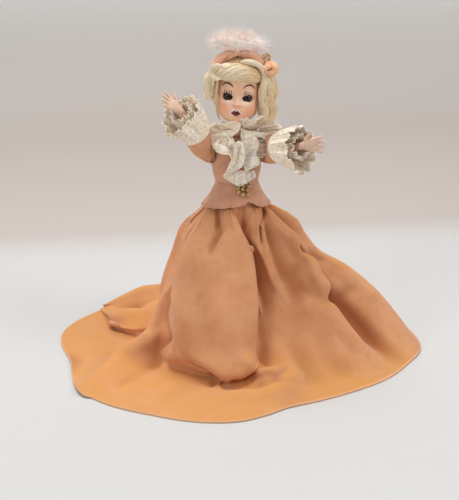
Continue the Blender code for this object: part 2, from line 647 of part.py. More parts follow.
def make_eyes(half, neck):
    """Two eyeballs and the weighted rocker that turns them, on the eyes' axle."""
    closed = Matrix.Rotation(half["eyes_closed"], 4, "X")
    axle = pivot(half["name"] + "_eye_axle", neck, (0, -EYE_DEPTH, EYE_HEIGHT), closed)
    for side, word in ((-1, "right"), (1, "left")):
        ball(half["name"] + "_" + word + "_eyeball", Vector((side * EYE_SPACING, 0, 0)), (EYE_RADIUS,) * 3,
             axle, "eye", 10, 6)
    half_span = EYE_SPACING - EYE_RADIUS - GAP
    name = half["name"] + "_eye_rocker"
    rocker = rod(name, (-half_span, 0, 0), (half_span, 0, 0), ROCKER_THICKNESS, axle, "lead", 10)
    weight_centre = Vector((0, WEIGHT_SETBACK, -WEIGHT_DROP))
    combine(rocker, rod("stalk", (0, 0, 0), weight_centre, ROCKER_THICKNESS / 2, axle, "lead", 8), "UNION")
    reach = Vector((WEIGHT_HALF_LENGTH, 0, 0))
    weight = rod("weight", weight_centre - reach, weight_centre + reach, WEIGHT_RADIUS, axle, "lead")
    combine(rocker, weight, "UNION")


def wig_solid(name, neck, half, grow):
    """All the wig's lobes joined, grown outwards."""
    wig = None
    for x, y, z, rx, ry, rz in half["lobes"]:
        radii = [radius * WIG_TOP + grow for radius in (rx, ry, rz)]
        lobe = ball(name, Vector((x, y, z)) * WIG_TOP, radii, neck, "mohair", *half["lobe_sides"])
        if wig:
            combine(wig, lobe, "UNION")
        else:
            wig = lobe
    return wig


def make_wig(half, neck):
    """The wig, hollowed to fit the head; the lower one is cut flat where it stands on the floor."""
    wig = wig_solid(half["name"] + "_wig", neck, half, 0)
    combine(wig, head_solid("cutter", neck, half["head_sides"], GAP))
    cut = oval(WIG_TOP, HEAD_BACK, HEAD_BACK, HEAD_BACK, 8)
    above = [point + Vector((0, 0, OVERRUN)) for point in cut]
    if half["name"] == "lower":
        combine(wig, loft("cutter", [cut, above], neck, "mohair"))


def band_ring(angle, count, grow=0):
    """A section of the hat band at an angle over the crown, seen along the band."""
    middle = BAND_INNER_RADIUS + BAND_THICKNESS / 2
    half_thickness = BAND_THICKNESS / 2 + grow
    centre = Vector((0, BAND_CENTRE_SETBACK, BAND_CENTRE_HEIGHT))
    outward = Vector((cos(angle), 0, sin(angle)))
    across = Vector((0, 1, 0))
    return [
        centre + outward * (middle + half_thickness * cos(turn))
        + across * (BAND_HALF_BREADTH + grow) * sin(turn)
        for turn in angles(count)
    ]


def band_solid(name, neck, grow):
    """The hat band before anything is cut from it, grown outwards."""
    rings = [band_ring(BAND_START + (BAND_END - BAND_START) * step / BAND_STEPS, 10, grow)
             for step in range(BAND_STEPS + 1)]
    return loft(name, rings, neck, "pink_felt")


def make_hat(neck, half):
    """Hat band, side roll, bead spray and feather tuft, each seated on the one before."""
    band = band_solid("hat_band", neck, 0)
    combine(band, wig_solid("cutter", neck, half, GAP))
    combine(band, ball("cutter", ROLL_CENTRE, ROLL_RADII + Vector((GAP, GAP, GAP)), neck, "pink_felt"))
    roll = ball("hat_side_roll", ROLL_CENTRE, ROLL_RADII, neck, "pink_felt")
    combine(roll, wig_solid("cutter", neck, half, GAP))
    outward = Vector((cos(BAND_BEADS_AT), 0, sin(BAND_BEADS_AT)))
    base = outward * (BAND_OUTER_RADIUS + 2 * GAP + HAT_BEAD_RADIUS)
    base += Vector((0, BAND_CENTRE_SETBACK, BAND_CENTRE_HEIGHT))
    spray = ball("hat_beads", base, (HAT_BEAD_RADIUS,) * 3, neck, "gold_bead", 6, 4)
    along = Vector((-sin(BAND_BEADS_AT), 0, cos(BAND_BEADS_AT)))
    for angle in angles(HAT_BEADS_ROUND):
        round_it = along * cos(angle) + Vector((0, sin(angle), 0))
        offset = outward * bead_rise_share + round_it * bead_ring_share
        bead = ball("bead", base + offset * HAT_BEAD_RADIUS, (HAT_BEAD_RADIUS,) * 3, neck, "gold_bead", 5, 4)
        combine(spray, bead, "UNION")
    tuft_height = BAND_CENTRE_HEIGHT + BAND_OUTER_RADIUS + FEATHER_LIFT
    tuft_centre = Vector((FEATHER_OFFSET, BAND_CENTRE_SETBACK, tuft_height))
    tuft = ball("feather_tuft", tuft_centre, FEATHER_RADII, neck, "feather", 14, 7)
    combine(tuft, band_solid("cutter", neck, GAP))


def along_arm(section, distance, place):
    """A ring of a limb, moved to a distance along its own axis and into place."""
    return [place @ Vector((point[0], point[1], distance)) for point in section]


def limb_section(half_thickness, half_width, count):
    return [(half_thickness * cos(angle), half_width * sin(angle)) for angle in angles(count)]


def arm_axis():
    """The arm's own frame: Z along the arm, splayed out from the shoulder's swing plane."""
    return Matrix.Rotation(ARM_SPLAY, 4, "Y")


def hand_frame():
    """The hand's own frame at the wrist, bent out and turned about the forearm."""
    bend = Matrix.Rotation(WRIST_BEND, 4, "Y") @ Matrix.Rotation(PALM_TURN, 4, "Z")
    return arm_axis() @ Matrix.Translation((0, 0, ARM_LENGTH)) @ bend


def arm_radius(distance):
    return between([(row[0] * ARM_LENGTH, row[1] * ARM_RADIUS) for row in arm_shares], distance)[1]


def add_fingers(arm, shoulder, count):
    """Four fingers and a thumb, joined to the palm."""
    for across, reach, spread, length in finger_shares:
        root = Matrix.Translation((0, across * PALM_HALF_WIDTH, reach * HAND_LENGTH))
        place = hand_frame() @ root @ Matrix.Rotation(-radians(spread), 4, "X")
        rings = []
        for part, width in ((0, 1.0), (0.55, 0.9), (0.9, 0.62)):
            section = limb_section(FINGER_RADIUS * width, FINGER_RADIUS * width, count)
            rings.append(along_arm(section, part * length * FINGER_LENGTH, place))
        tip = place @ Vector((0, 0, length * FINGER_LENGTH))
        combine(arm, loft("finger", rings, shoulder, "plastic", tips=(None, tip)), "UNION")


def make_arm(half, word, shoulder):
    """One strung arm with its hand, and the hollow in its shoulder for the elastic's knot."""
    count = half["arm_sides"]
    rings = []
    for distance, radius in arm_shares:
        section = limb_section(radius * ARM_RADIUS, radius * ARM_RADIUS, count)
        rings.append(along_arm(section, distance * ARM_LENGTH, arm_axis()))
    for distance, thickness, width in palm_shares:
        section = limb_section(thickness * PALM_HALF_THICKNESS, width * PALM_HALF_WIDTH, count)
        rings.append(along_arm(section, distance * HAND_LENGTH, hand_frame()))
    arm = loft(half["name"] + "_" + word + "_arm", rings, shoulder, "plastic")
    add_fingers(arm, shoulder, half["finger_sides"])
    face = Vector((SHOULDER_FACE + GAP - SHOULDER_REACH, 0, 0))
    inside = face - Vector((ARM_RADIUS, 0, 0))
    combine(arm, rod("cutter", inside, face, ARM_RADIUS + OVERRUN, shoulder, "plastic"))
    combine(arm, ball("cutter", Vector(), (KNOT_RADIUS + GAP,) * 3, shoulder, "plastic", 8, 5))
    combine(arm, rod("cutter", inside, Vector(), ELASTIC_RADIUS + GAP, shoulder, "plastic", 6))
    return arm


def make_sleeve(half, word, shoulder):
    """The wide sleeve, a tube that draws in on the forearm."""
    radius = half["sleeve_radius"]
    run = SLEEVE_END - SLEEVE_START
    rows = [(SLEEVE_START + share * run, width * radius) for share, width in sleeve_shares]
    rows.append((SLEEVE_END, arm_radius(SLEEVE_END) + GAP + SLEEVE_WALL))
    count = half["arm_sides"] + 4
    outer = [along_arm(limb_section(r, r, count), distance, arm_axis()) for distance, r in rows]
    inner = [along_arm(limb_section(r - SLEEVE_WALL, r - SLEEVE_WALL, count), distance, arm_axis())
             for distance, r in rows]
    name = half["name"] + "_" + word + "_sleeve"
    sleeve = loft(name, outer + inner[::-1], shoulder, "peach_cloth", loop=True)
    edge = Vector((SLEEVE_CUT, 0, 0))
    inside = edge - Vector((2 * radius, 0, 0))
    combine(sleeve, rod("cutter", inside, edge, SLEEVE_END + OVERRUN, shoulder, "peach_cloth"))
    return sleeve


def cuff_ring(share, grow, start_radius, count):
    """A ring of the frill, waved more towards its free edge."""
    ring = []
    for angle in angles(count):
        wave = CUFF_WAVE * share * cos(CUFF_WAVES * angle)
        radius = start_radius + (CUFF_RADIUS - start_radius) * share**cuff_curve_share + wave + grow
        distance = CUFF_START + (CUFF_END - CUFF_START) * share
        ring.append(arm_axis() @ Vector((radius * cos(angle), radius * sin(angle), distance)))
    return ring


def make_cuff(half, word, shoulder):
    """The gathered lace cuff, a bell round the sleeve's end and the wrist."""
    start_radius = max(width for share, width in sleeve_shares) * half["sleeve_radius"] + GAP + LACE_WALL
    shares = (0, 0.4, 1)
    count = 4 * CUFF_WAVES
    rings = [cuff_ring(share, 0, start_radius, count) for share in shares]
    rings += [cuff_ring(share, -LACE_WALL, start_radius, count) for share in shares[::-1]]
    return loft(half["name"] + "_" + word + "_lace_cuff", rings, shoulder, "lace", loop=True)


def make_arms(half):
    """Both arms with their clothes, each on its shoulder's pivot."""
    for side, word in ((-1, "right"), (1, "left")):
        place = (torso_shift(half, SHOULDER_HEIGHT) + side * SHOULDER_REACH, 0, SHOULDER_HEIGHT)
        turn = Matrix.Rotation(half[word + "_arm_lean"], 4, "X")
        shoulder = pivot(half["name"] + "_" + word + "_shoulder", half["root"], place, turn)
        pieces = [make_arm(half, word, shoulder), make_sleeve(half, word, shoulder)]
        if half["name"] == "upper":
            pieces.append(make_cuff(half, word, shoulder))
        if side < 0:
            for piece in pieces:
                mirror(piece)


def collar_ring(half, share, grow):
    """A ring of the collar from its neck edge outwards, rising and waving towards its rim."""
    ring = []
    for angle in angles(4 * COLLAR_WAVES):
        half_width = COLLAR_INNER_RADIUS + (COLLAR_HALF_WIDTH - COLLAR_INNER_RADIUS) * share
        half_depth = COLLAR_INNER_RADIUS + (COLLAR_HALF_DEPTH - COLLAR_INNER_RADIUS) * share
        lift = COLLAR_RISE + COLLAR_FRONT_RISE * sin(angle) ** 2 + COLLAR_WAVE * sin(COLLAR_WAVES * angle)
        ring.append(Vector((half["neck_shift"] + half_width * cos(angle), half_depth * sin(angle),
                            TORSO_TOP + GAP + lift * share + grow)))
    return ring


def make_collar(half):
    """The lace collar that lies round the neck."""
    shares = (0, 0.45, 1)
    rings = [collar_ring(half, share, 0) for share in shares]
    rings += [collar_ring(half, share, LACE_WALL) for share in shares[::-1]]
    loft("lace_collar", rings, half["root"], "lace", loop=True)


def make_jabot(half):
    """The lace fall on the chest, in soft upright folds."""
    columns = 12
    rings = []
    for share, width, shift in jabot_shares:
        height = JABOT_BOTTOM + (JABOT_TOP - JABOT_BOTTOM) * share
        front, back = [], []
        for column in range(columns + 1):
            across = 2 * column / columns - 1
            x = shift * JABOT_SHIFT + across * width * JABOT_HALF_WIDTH
            y = front_of(half, height, x, BODICE_GROWTH + GAP) - GAP
            fold = JABOT_WAVE * cos(2 * pi * JABOT_WAVES * across) * width
            front.append(Vector((x, y - JABOT_THICKNESS - fold, height)))
            back.append(Vector((x, y, height)))
        rings.append(front + back[::-1])
    loft("lace_jabot", rings, half["root"], "lace")


def make_peplum(half):
    """The flared frill at the bodice's lower edge, lifted at its front."""
    rings = []
    for grow, shares in ((PEPLUM_WALL, (0, 0.5, 1)), (0, (1, 0.5, 0))):
        for share in shares:
            half_width, half_depth = torso_outline(PEPLUM_TOP, BODICE_GROWTH + GAP + grow)
            flare = PEPLUM_FLARE * share**peplum_curve_share
            ring = []
            for angle in angles(4 * PEPLUM_WAVES):
                wave = PEPLUM_WAVE * share * cos(PEPLUM_WAVES * angle)
                drop = (PEPLUM_DROP - PEPLUM_FRONT_LIFT * max(0, -sin(angle))) * share
                ring.append(Vector(((half_width + flare + wave) * cos(angle),
                                    (half_depth + flare + wave) * sin(angle), PEPLUM_TOP - drop)))
            rings.append(ring)
    loft("peplum", rings[::-1], half["root"], "pink_felt", loop=True)


def make_bead_cluster(half):
    """Pearl beads sewn on a small pad that lies on the bodice."""
    rings = []
    grow = BODICE_GROWTH + GAP
    for share in (-1, -0.5, 0, 0.5, 1):
        height = BEAD_CENTRE_HEIGHT + share * BEAD_PAD_HALF_HEIGHT
        width = BEAD_PAD_HALF_WIDTH * sqrt(1 - share * share * pad_narrowing_share)
        front, back = [], []
        for across in (-1, -0.5, 0, 0.5, 1):
            x = BEAD_CENTRE_OFFSET + across * width
            y = front_of(half, height, x, grow)
            front.append(Vector((x, y - BEAD_PAD_THICKNESS, height)))
            back.append(Vector((x, y, height)))
        rings.append(front + back[::-1])
    cluster = loft("bead_cluster", rings, half["root"], "gold_bead")
    for across, up in bead_place_shares:
        x = BEAD_CENTRE_OFFSET + across * 2 * BEAD_RADIUS
        height = BEAD_CENTRE_HEIGHT + up * 2 * BEAD_RADIUS
        y = front_of(half, height, x, grow) - BEAD_PAD_THICKNESS - bead_sink_share * BEAD_RADIUS
        bead = ball("bead", Vector((x, y, height)), (BEAD_RADIUS,) * 3, half["root"], "gold_bead", 5, 4)
        combine(cluster, bead, "UNION")


def smooth(values, place):
    """A smooth curve through evenly spaced values."""
    last = len(values) - 1
    first = floor(place)
    part = place - first
    before, here, there, after = (values[min(max(step, 0), last)] for step in range(first - 1, first + 3))
    bend = 2 * before - 5 * here + 4 * there - after
    twist = 3 * (here - there) + after - before
    return here + 0.5 * part * (there - before + part * (bend + part * twist))


def fold_point(fold, level):
    """A fold's point at one level: level 0 is the seam at the waist, the rest come from the table."""
    turns, reaches, heights = fold_shares[fold % len(fold_shares)]
    step = max(0, level - 1)
    turn = turns[step] if len(turns) > 2 else turns[0] + (turns[1] - turns[0]) * turn_shares[step + 1]
    angle = radians(turn + 360 * floor(fold / len(fold_shares)))
    if level == 0:
        half_width, half_depth = torso_outline(SKIRT_SEAM_HEIGHT, GAP + SKIRT_WALL)
        return Vector((angle, (half_width + half_depth) / 2, SKIRT_TOP))
    return Vector((angle, reaches[level - 1] * SKIRT_REACH, heights[level - 1] * SKIRT_TOP))


def skirt_place(around, down):
    """The skirt's outer surface: around counts folds, down counts levels from the waist to the hem."""
    first = floor(around)
    levels = len(turn_shares)
    by_level = []
    for level in range(levels):
        four = [fold_point(first + step, level) for step in (-1, 0, 1, 2)]
        by_level.append(smooth(four, 1 + around - first))
    angle, reach, height = smooth(by_level, down)
    half_width, half_depth = torso_outline(SKIRT_SEAM_HEIGHT, GAP + SKIRT_WALL)
    flat = max(0, 1 - down)
    wide = 1 + flat * (2 * half_width / (half_width + half_depth) - 1)
    deep = 1 + flat * (2 * half_depth / (half_width + half_depth) - 1)
    return Vector((reach * wide * sin(angle), -reach * deep * cos(angle), height))


def skirt_normal(around, down):
    """The surface's outward direction."""
    across = skirt_place(around + nudge_share, down) - skirt_place(around - nudge_share, down)
    low, high = min(down + nudge_share, len(turn_shares) - 1), max(down - nudge_share, 0)
    upward = skirt_place(around, high) - skirt_place(around, low)
    return across.cross(upward).normalized()


def cloth_rings(rows, depth):
    """Rings of the skirt at a depth under its outer face, none below the floor."""
    columns = len(fold_shares) * COLUMNS_TO_A_FOLD
    rings = []
    for down in rows:
        ring = []
        for column in range(columns):
            around = column / COLUMNS_TO_A_FOLD
            point = skirt_place(around, down) - depth * skirt_normal(around, down)
            point.z = max(point.z, 0)
            ring.append(point)
        rings.append(ring)
    return rings


def layer(name, outer, inner, parent, finish):
    """A closed sheet of cloth between two grids of rings, its faces split alike on both sides."""
    bm = bmesh.new()
    outside, inside = ([[bm.verts.new(point) for point in ring] for ring in grid] for grid in (outer, inner))
    count = len(outer[0])
    for column in range(count):
        after = (column + 1) % count
        for over, under in zip(outside, outside[1:]):
            bm.faces.new((under[column], under[after], over[after]))
            bm.faces.new((under[column], over[after], over[column]))
        for over, under in zip(inside, inside[1:]):
            bm.faces.new((over[after], under[after], under[column]))
            bm.faces.new((over[column], over[after], under[column]))
        bm.faces.new((outside[0][column], outside[0][after], inside[0][after], inside[0][column]))
        bm.faces.new((outside[-1][after], outside[-1][column], inside[-1][column], inside[-1][after]))
    mesh = bpy.data.meshes.new(name)
    bm.to_mesh(mesh)
    bm.free()
    return new_piece(name, mesh, parent, finish)


def make_skirt(root):
    """The outer skirt and its lining, two thin layers of one gathered shape."""
    layer("skirt", cloth_rings(skirt_rows, 0), cloth_rings(skirt_rows, SKIRT_WALL), root, "peach_cloth")
    under = SKIRT_WALL + GAP
    layer("skirt_lining", cloth_rings(lining_rows, under), cloth_rings(lining_rows, under + LINING_WALL),
          root, "lining_cloth")


def make_half(half, finish):
    """One half doll: torso, clothes, stringing, head, eyes, wig and arms."""
    make_torso(half)
    make_bodice(half, finish)
    make_elastic(half)
    make_neck_hook(half)
    turn = Matrix.Rotation(half["head_lean"], 4, "Y") @ Matrix.Rotation(half["head_turn"], 4, "Z")
    neck = pivot(half["name"] + "_neck", half["root"], (half["neck_shift"], 0, NECK_PIVOT), turn)
    make_head(half, neck)
    make_eyes(half, neck)
    make_wig(half, neck)
    make_arms(half)
    return neck


doll = pivot("doll")
upside_down = Matrix.Rotation(pi, 4, "Y")
UPPER = {
    "name": "upper",
    "root": pivot("upper_half", doll, (0, 0, HALF_HEIGHT)),
    "neck_shift": UPPER_NECK_SHIFT,
    "head_lean": UPPER_HEAD_LEAN,
    "head_turn": UPPER_HEAD_TURN,
    "right_arm_lean": UPPER_RIGHT_ARM_LEAN,
    "left_arm_lean": UPPER_LEFT_ARM_LEAN,
    "eyes_closed": 0,
    "sleeve_radius": UPPER_SLEEVE_RADIUS,
    "lobes": upper_lobe_shares,
    "lobe_sides": (9, 5),
    "sides": 14,
    "head_sides": 16,
    "arm_sides": 8,
    "finger_sides": 5,
}
LOWER = {
    "name": "lower",
    "root": pivot("lower_half", doll, (0, 0, HALF_HEIGHT), upside_down),
    "neck_shift": LOWER_NECK_SHIFT,
    "head_lean": 0,
    "head_turn": 0,
    "right_arm_lean": LOWER_ARM_LEAN,
    "left_arm_lean": LOWER_ARM_LEAN,
    "eyes_closed": EYE_CLOSING,
    "sleeve_radius": LOWER_SLEEVE_RADIUS,
    "lobes": lower_lobe_shares,
    "lobe_sides": (8, 5),
    "sides": 12,
    "head_sides": 12,
    "arm_sides": 6,
    "finger_sides": 4,
}

make_waist_plug(doll)
upper_neck = make_half(UPPER, "pink_felt")
make_half(LOWER, "lining_cloth")
make_hat(upper_neck, UPPER)
make_collar(UPPER)
make_jabot(UPPER)
make_peplum(UPPER)
make_bead_cluster(UPPER)
make_skirt(doll)
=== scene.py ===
import json
from math import cos, exp, hypot, pi, radians, sin, tau

import bmesh
import bpy
import numpy as np
from mathutils import Matrix, Vector
from mathutils.bvhtree import BVHTree

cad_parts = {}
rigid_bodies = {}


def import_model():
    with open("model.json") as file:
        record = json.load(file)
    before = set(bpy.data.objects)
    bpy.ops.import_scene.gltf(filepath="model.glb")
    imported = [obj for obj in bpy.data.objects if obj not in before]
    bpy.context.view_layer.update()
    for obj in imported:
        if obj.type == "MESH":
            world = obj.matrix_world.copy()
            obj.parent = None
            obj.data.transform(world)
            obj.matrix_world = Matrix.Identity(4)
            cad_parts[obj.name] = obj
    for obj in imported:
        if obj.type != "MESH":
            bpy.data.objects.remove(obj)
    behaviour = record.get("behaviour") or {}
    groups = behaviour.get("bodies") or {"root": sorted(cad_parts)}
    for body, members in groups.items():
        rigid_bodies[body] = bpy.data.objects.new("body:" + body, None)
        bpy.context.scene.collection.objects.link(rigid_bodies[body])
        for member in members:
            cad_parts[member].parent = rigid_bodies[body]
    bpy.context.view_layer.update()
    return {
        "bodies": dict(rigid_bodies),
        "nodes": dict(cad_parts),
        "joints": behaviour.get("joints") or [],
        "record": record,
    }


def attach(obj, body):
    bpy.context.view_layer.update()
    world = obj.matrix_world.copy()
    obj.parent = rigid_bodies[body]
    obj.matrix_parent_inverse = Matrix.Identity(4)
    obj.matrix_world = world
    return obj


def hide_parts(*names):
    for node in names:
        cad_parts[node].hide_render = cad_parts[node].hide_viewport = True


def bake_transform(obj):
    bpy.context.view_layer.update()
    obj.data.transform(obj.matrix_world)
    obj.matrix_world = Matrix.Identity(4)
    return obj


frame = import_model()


# The studio: a pale table that sweeps up into a backdrop, lit by one big soft lamp overhead,
# two side panels and a pale room. The camera stands at the photograph's place.
def add_node(tree, kind, inputs=None, **settings):
    """A shader or geometry node with its settings, its inputs set or linked."""
    node = tree.nodes.new(kind)
    for key, value in settings.items():
        setattr(node, key, value)
    for key, value in (inputs or {}).items():
        if isinstance(value, bpy.types.NodeSocket):
            tree.links.new(value, node.inputs[key])
        else:
            node.inputs[key].default_value = value
    return node


def new_material(name):
    """A material with its tree and its Principled shader."""
    made = bpy.data.materials.new(name)
    made.use_nodes = True
    return made, made.node_tree, made.node_tree.nodes["Principled BSDF"]


def mesh_object(name, points, faces, finish, smooth=True, edges=()):
    """An object at the origin from points in metres, made of one material."""
    mesh = bpy.data.meshes.new(name)
    mesh.from_pydata([tuple(point) for point in points], list(edges), [tuple(face) for face in faces])
    if smooth:
        mesh.shade_smooth()
    mesh.materials.append(finish)
    made = bpy.data.objects.new(name, mesh)
    bpy.context.scene.collection.objects.link(made)
    return made


view_turn, view_rise, view_distance = radians(-8), radians(20), 0.62
aim = Vector((-0.0045 * cos(view_turn), -0.0045 * sin(view_turn), 0.0665))
lens = bpy.data.cameras.new("camera")
lens.lens = 74.4
camera = bpy.data.objects.new("camera", lens)
bpy.context.scene.collection.objects.link(camera)
camera.location = aim + view_distance * Vector(
    (sin(view_turn) * cos(view_rise), -cos(view_turn) * cos(view_rise), sin(view_rise)))
camera.rotation_euler = (radians(90) - view_rise, 0, view_turn)
bpy.context.scene.camera = camera
bpy.context.scene.view_settings.view_transform = "Standard"

room = bpy.data.worlds.new("room")
room.use_nodes = True
room.node_tree.nodes["Background"].inputs["Color"].default_value = (1.0, 0.985, 0.97, 1)
room.node_tree.nodes["Background"].inputs["Strength"].default_value = 0.27
bpy.context.scene.world = room


def soft_lamp(name, place, aim_at, size, power, colour=(1, 1, 1)):
    """A large area lamp turned towards a point."""
    lamp = bpy.data.lights.new(name, "AREA")
    lamp.shape, lamp.size, lamp.energy, lamp.color = "DISK", size, power, colour
    made = bpy.data.objects.new(name, lamp)
    bpy.context.scene.collection.objects.link(made)
    made.location = place
    made.rotation_euler = (Vector(aim_at) - Vector(place)).to_track_quat("-Z", "Y").to_euler()


soft_lamp("overhead_lamp", (-0.15, 0.05, 1.05), (0, 0, 0.05), 0.6, 7.0, (1.0, 0.98, 0.96))
soft_lamp("left_panel", (-0.85, -0.65, 0.55), (0, 0, 0.08), 0.5, 2.9, (1.0, 0.97, 0.94))
soft_lamp("right_panel", (0.85, -0.55, 0.60), (0, 0, 0.08), 0.45, 4.3, (1.0, 0.97, 0.94))

paper, tree, shader = new_material("backdrop_paper")
shader.inputs["Roughness"].default_value = 0.9
shader.inputs["Specular IOR Level"].default_value = 0.1
geometry = add_node(tree, "ShaderNodeNewGeometry")
# Painted shade and light: the flat table keeps one tone; from the foot of the bend the paper turns darker, darkest a
# third of the way up, then paler to the top of the wall.
height = add_node(tree, "ShaderNodeSeparateXYZ", {"Vector": geometry.outputs["Position"]})
fade = add_node(tree, "ShaderNodeMapRange", {"Value": height.outputs["Z"], "From Max": 0.22})
ramp = add_node(tree, "ShaderNodeValToRGB", {"Fac": fade.outputs["Result"]})
ramp.color_ramp.elements[0].color = (0.635, 0.64, 0.64, 1)
ramp.color_ramp.elements[1].color = (0.74, 0.77, 0.78, 1)
for place, shade in ((0.03, (0.55, 0.505, 0.48, 1)), (0.3, (0.49, 0.45, 0.43, 1)), (0.6, (0.56, 0.54, 0.52, 1))):
    ramp.color_ramp.elements.new(place).color = shade
tree.links.new(ramp.outputs["Color"], shader.inputs["Base Color"])
clear = add_node(tree, "ShaderNodeBsdfTransparent")
seen_behind = add_node(tree, "ShaderNodeMixShader", {
    0: geometry.outputs["Backfacing"], 1: shader.outputs[0], 2: clear.outputs[0]})
tree.links.new(seen_behind.outputs[0], tree.nodes["Material Output"].inputs["Surface"])
bend_start, bend_radius, table_front, wall_top, half_width = 0.17, 0.16, -1.2, 1.6, 2.2
sweep = [(table_front, 0.0), (bend_start, 0.0)]
sweep += [(bend_start + bend_radius * sin(radians(turn)), bend_radius - bend_radius * cos(radians(turn)))
          for turn in range(3, 91, 3)]
sweep += [(bend_start + bend_radius, wall_top)]
corners = [(x, y, z) for y, z in sweep for x in (-half_width, half_width)]
strips = [(2 * i, 2 * i + 1, 2 * i + 3, 2 * i + 2) for i in range(len(sweep) - 1)]
backdrop = mesh_object("backdrop", corners, strips, paper)


# The skirt: one long gathered circle of brushed cotton, peach faded to pink and ochre, its hem turned
# up and sewn. Its folds are set by a table of ridges and hollows, then creases are pressed into them.
# Rows: angle at waist and hem in degrees from the front towards +X, then reach and height in mm at the
# eight levels below the waist.
folds = (
    ((-180, -158), (16, 26, 36, 48, 62, 78, 92, 103, 114), (91.2, 77.6, 61.1, 41.7, 24.3, 10.7, 4.5, 2.2, 1)),
    ((-156, -154, -152, -150, -149, -147, -142, -138, -134), (20, 32, 42, 54, 66, 76, 87, 97, 109),
     (91.7, 79.5, 64, 46, 30, 22, 19, 13, 4.5)),
    ((-148, -146, -144, -143, -143, -141, -134, -131, -132.5), (18, 28, 37, 46, 57, 68, 80, 93, 108),
     (91.2, 78.6, 62, 42, 25, 16.5, 11, 8, 3.8)),
    ((-141, -139, -137, -136, -134, -130, -124, -123, -131), (17, 27, 35, 43, 53, 63, 74, 90, 109),
     (91.2, 78.6, 62, 41.5, 23, 15.5, 12, 8, 2.8)),
    ((-134, -132, -130, -127, -123, -118, -115, -121, -129.5), (17, 27, 35, 41.5, 47, 54, 69, 88, 111),
     (91.2, 78.6, 62, 41.5, 20, 6, 1.8, 1.6, 1)),
    ((-117, -115, -112, -109, -107, -104, -102, -105, -110), (22.5, 35, 41, 47, 49, 53, 72, 92, 114.5),
     (91.2, 79.5, 63, 44, 23, 6.5, 2, 1.6, 1)),
    ((-113.5, -110.5, -105, -102, -98, -93, -90, -89, -88), (20.5, 32, 37.5, 44.5, 48.5, 52.5, 72, 88, 102.5),
     (91, 78.8, 62, 42.5, 23, 9, 3, 1.8, 1)),
    ((-110.5, -106, -98, -94.5, -89, -83, -82, -76, -65.3), (22, 32, 36.2, 44, 50.7, 56.5, 72, 84, 107.2),
     (91.2, 78.6, 60, 41, 25, 16, 9, 4.6, 1.4)),
    ((-96, -92, -87, -82, -78, -75, -70, -64, -60), (16.5, 25.5, 32.5, 40, 46.5, 50.5, 56, 74, 103.5),
     (90.2, 77.6, 61, 41, 21, 8.5, 2.4, 2.6, 1)),
    ((-80, -76, -71, -63, -58, -59, -62, -56, -53), (19.7, 28, 35.3, 42.8, 47.4, 50, 51, 72, 101),
     (91.7, 79.5, 65, 44, 23, 11, 2.6, 2, 1)),
    ((-58, -56, -53, -49.5, -48, -47, -42, -40, -38), (19, 27.5, 36, 43, 47, 49.5, 44, 64, 95.2),
     (91.2, 78.6, 62.1, 41.7, 23.3, 9, 2, 2.2, 1)),
    ((-30, -29, -28, -26, -24, -22, -20, -20, -21), (17.5, 26, 34, 44, 48.5, 51.5, 42, 64, 92.8),
     (91.2, 78.6, 62.1, 41.7, 22.5, 7.5, 1.6, 4.6, 1)),
    ((-14, -2, 8, 11, 9, 3, -2, -3, -8), (16.5, 19.5, 27, 35.5, 43, 51, 45, 67.5, 90),
     (91.2, 80, 62.1, 41.7, 22.3, 10, 2.5, 6, 1)),
    ((6, 5, 15, 17, 15, 13, 9, 5, 2), (14.6, 15.4, 20, 26.5, 35, 45, 57, 68.5, 85),
     (90.5, 78, 61, 41, 22, 13, 11, 7, 1)),
    ((24, 24, 26, 26, 25, 23, 19, 16, 14), (15.5, 17, 20.5, 28, 38, 50, 60.5, 68, 79.5),
     (91, 79, 62, 42, 24, 14, 12, 7.5, 1)),
    ((44, 43, 42, 41, 38, 35, 31, 30, 31), (17.5, 21, 27, 34, 43, 53, 64, 74, 82),
     (91.2, 78.6, 62.1, 42.7, 26, 15, 8, 4, 1)),
    ((57, 46), (17, 20, 29, 40, 52, 66, 75, 82, 88.5), (90.2, 77.6, 62.1, 44.6, 28.1, 13.6, 6, 3, 1)),
    ((68, 58), (20, 31, 43, 54, 65, 77, 85, 91, 96.5), (91.7, 79.5, 66, 49.5, 34.9, 20.4, 11, 5, 1)),
    ((78, 71), (18, 28.5, 38, 49, 62, 78, 89, 97, 105), (90.2, 78.6, 63.1, 44.6, 30.1, 15.5, 9, 4.5, 1)),
    ((90, 85), (25, 38, 50, 68, 86, 99, 105, 110, 115.5), (91.2, 80, 65, 54.3, 38.8, 23.3, 15, 8, 1)),
    ((106, 108), (17.5, 28, 40, 54, 70, 86, 98, 107, 115), (91.2, 78.6, 63.1, 45.6, 28.1, 13.6, 6.5, 3, 1)),
    ((125, 128), (21, 34, 46, 60, 76, 90, 100, 107, 113), (91.7, 79.5, 65, 49.5, 34, 19.4, 11, 5, 1)),
    ((145, 150), (16.5, 27, 38, 50, 65, 80, 93, 103, 112), (91.2, 77.6, 61.1, 42.7, 25.2, 11.6, 5, 2.5, 1)),
    ((162, 175), (21, 33, 44, 57, 72, 87, 98, 105, 112), (91.7, 79.5, 64, 46.6, 30.1, 16.5, 10, 4.5, 1)),
)
turn_shares = (0, 0.02, 0.12, 0.3, 0.5, 0.67, 0.81, 0.9, 0.96, 1)
waist_width, waist_depth, seam_height = 0.01491, 0.01142, 0.097


def curve_weights(places, count):
    """One row of weights per place, for a smooth curve through evenly spaced values."""
    weights = np.zeros((len(places), count))
    for row, place in enumerate(places):
        first = min(int(place), count - 2)
        part = place - first
        parts = (-part + 2 * part**2 - part**3, 2 - 5 * part**2 + 3 * part**3,
                 part + 4 * part**2 - 3 * part**3, part**3 - part**2)
        for step, weight in zip(range(first - 1, first + 3), parts):
            weights[row, min(max(step, 0), count - 1)] += weight / 2
    return weights


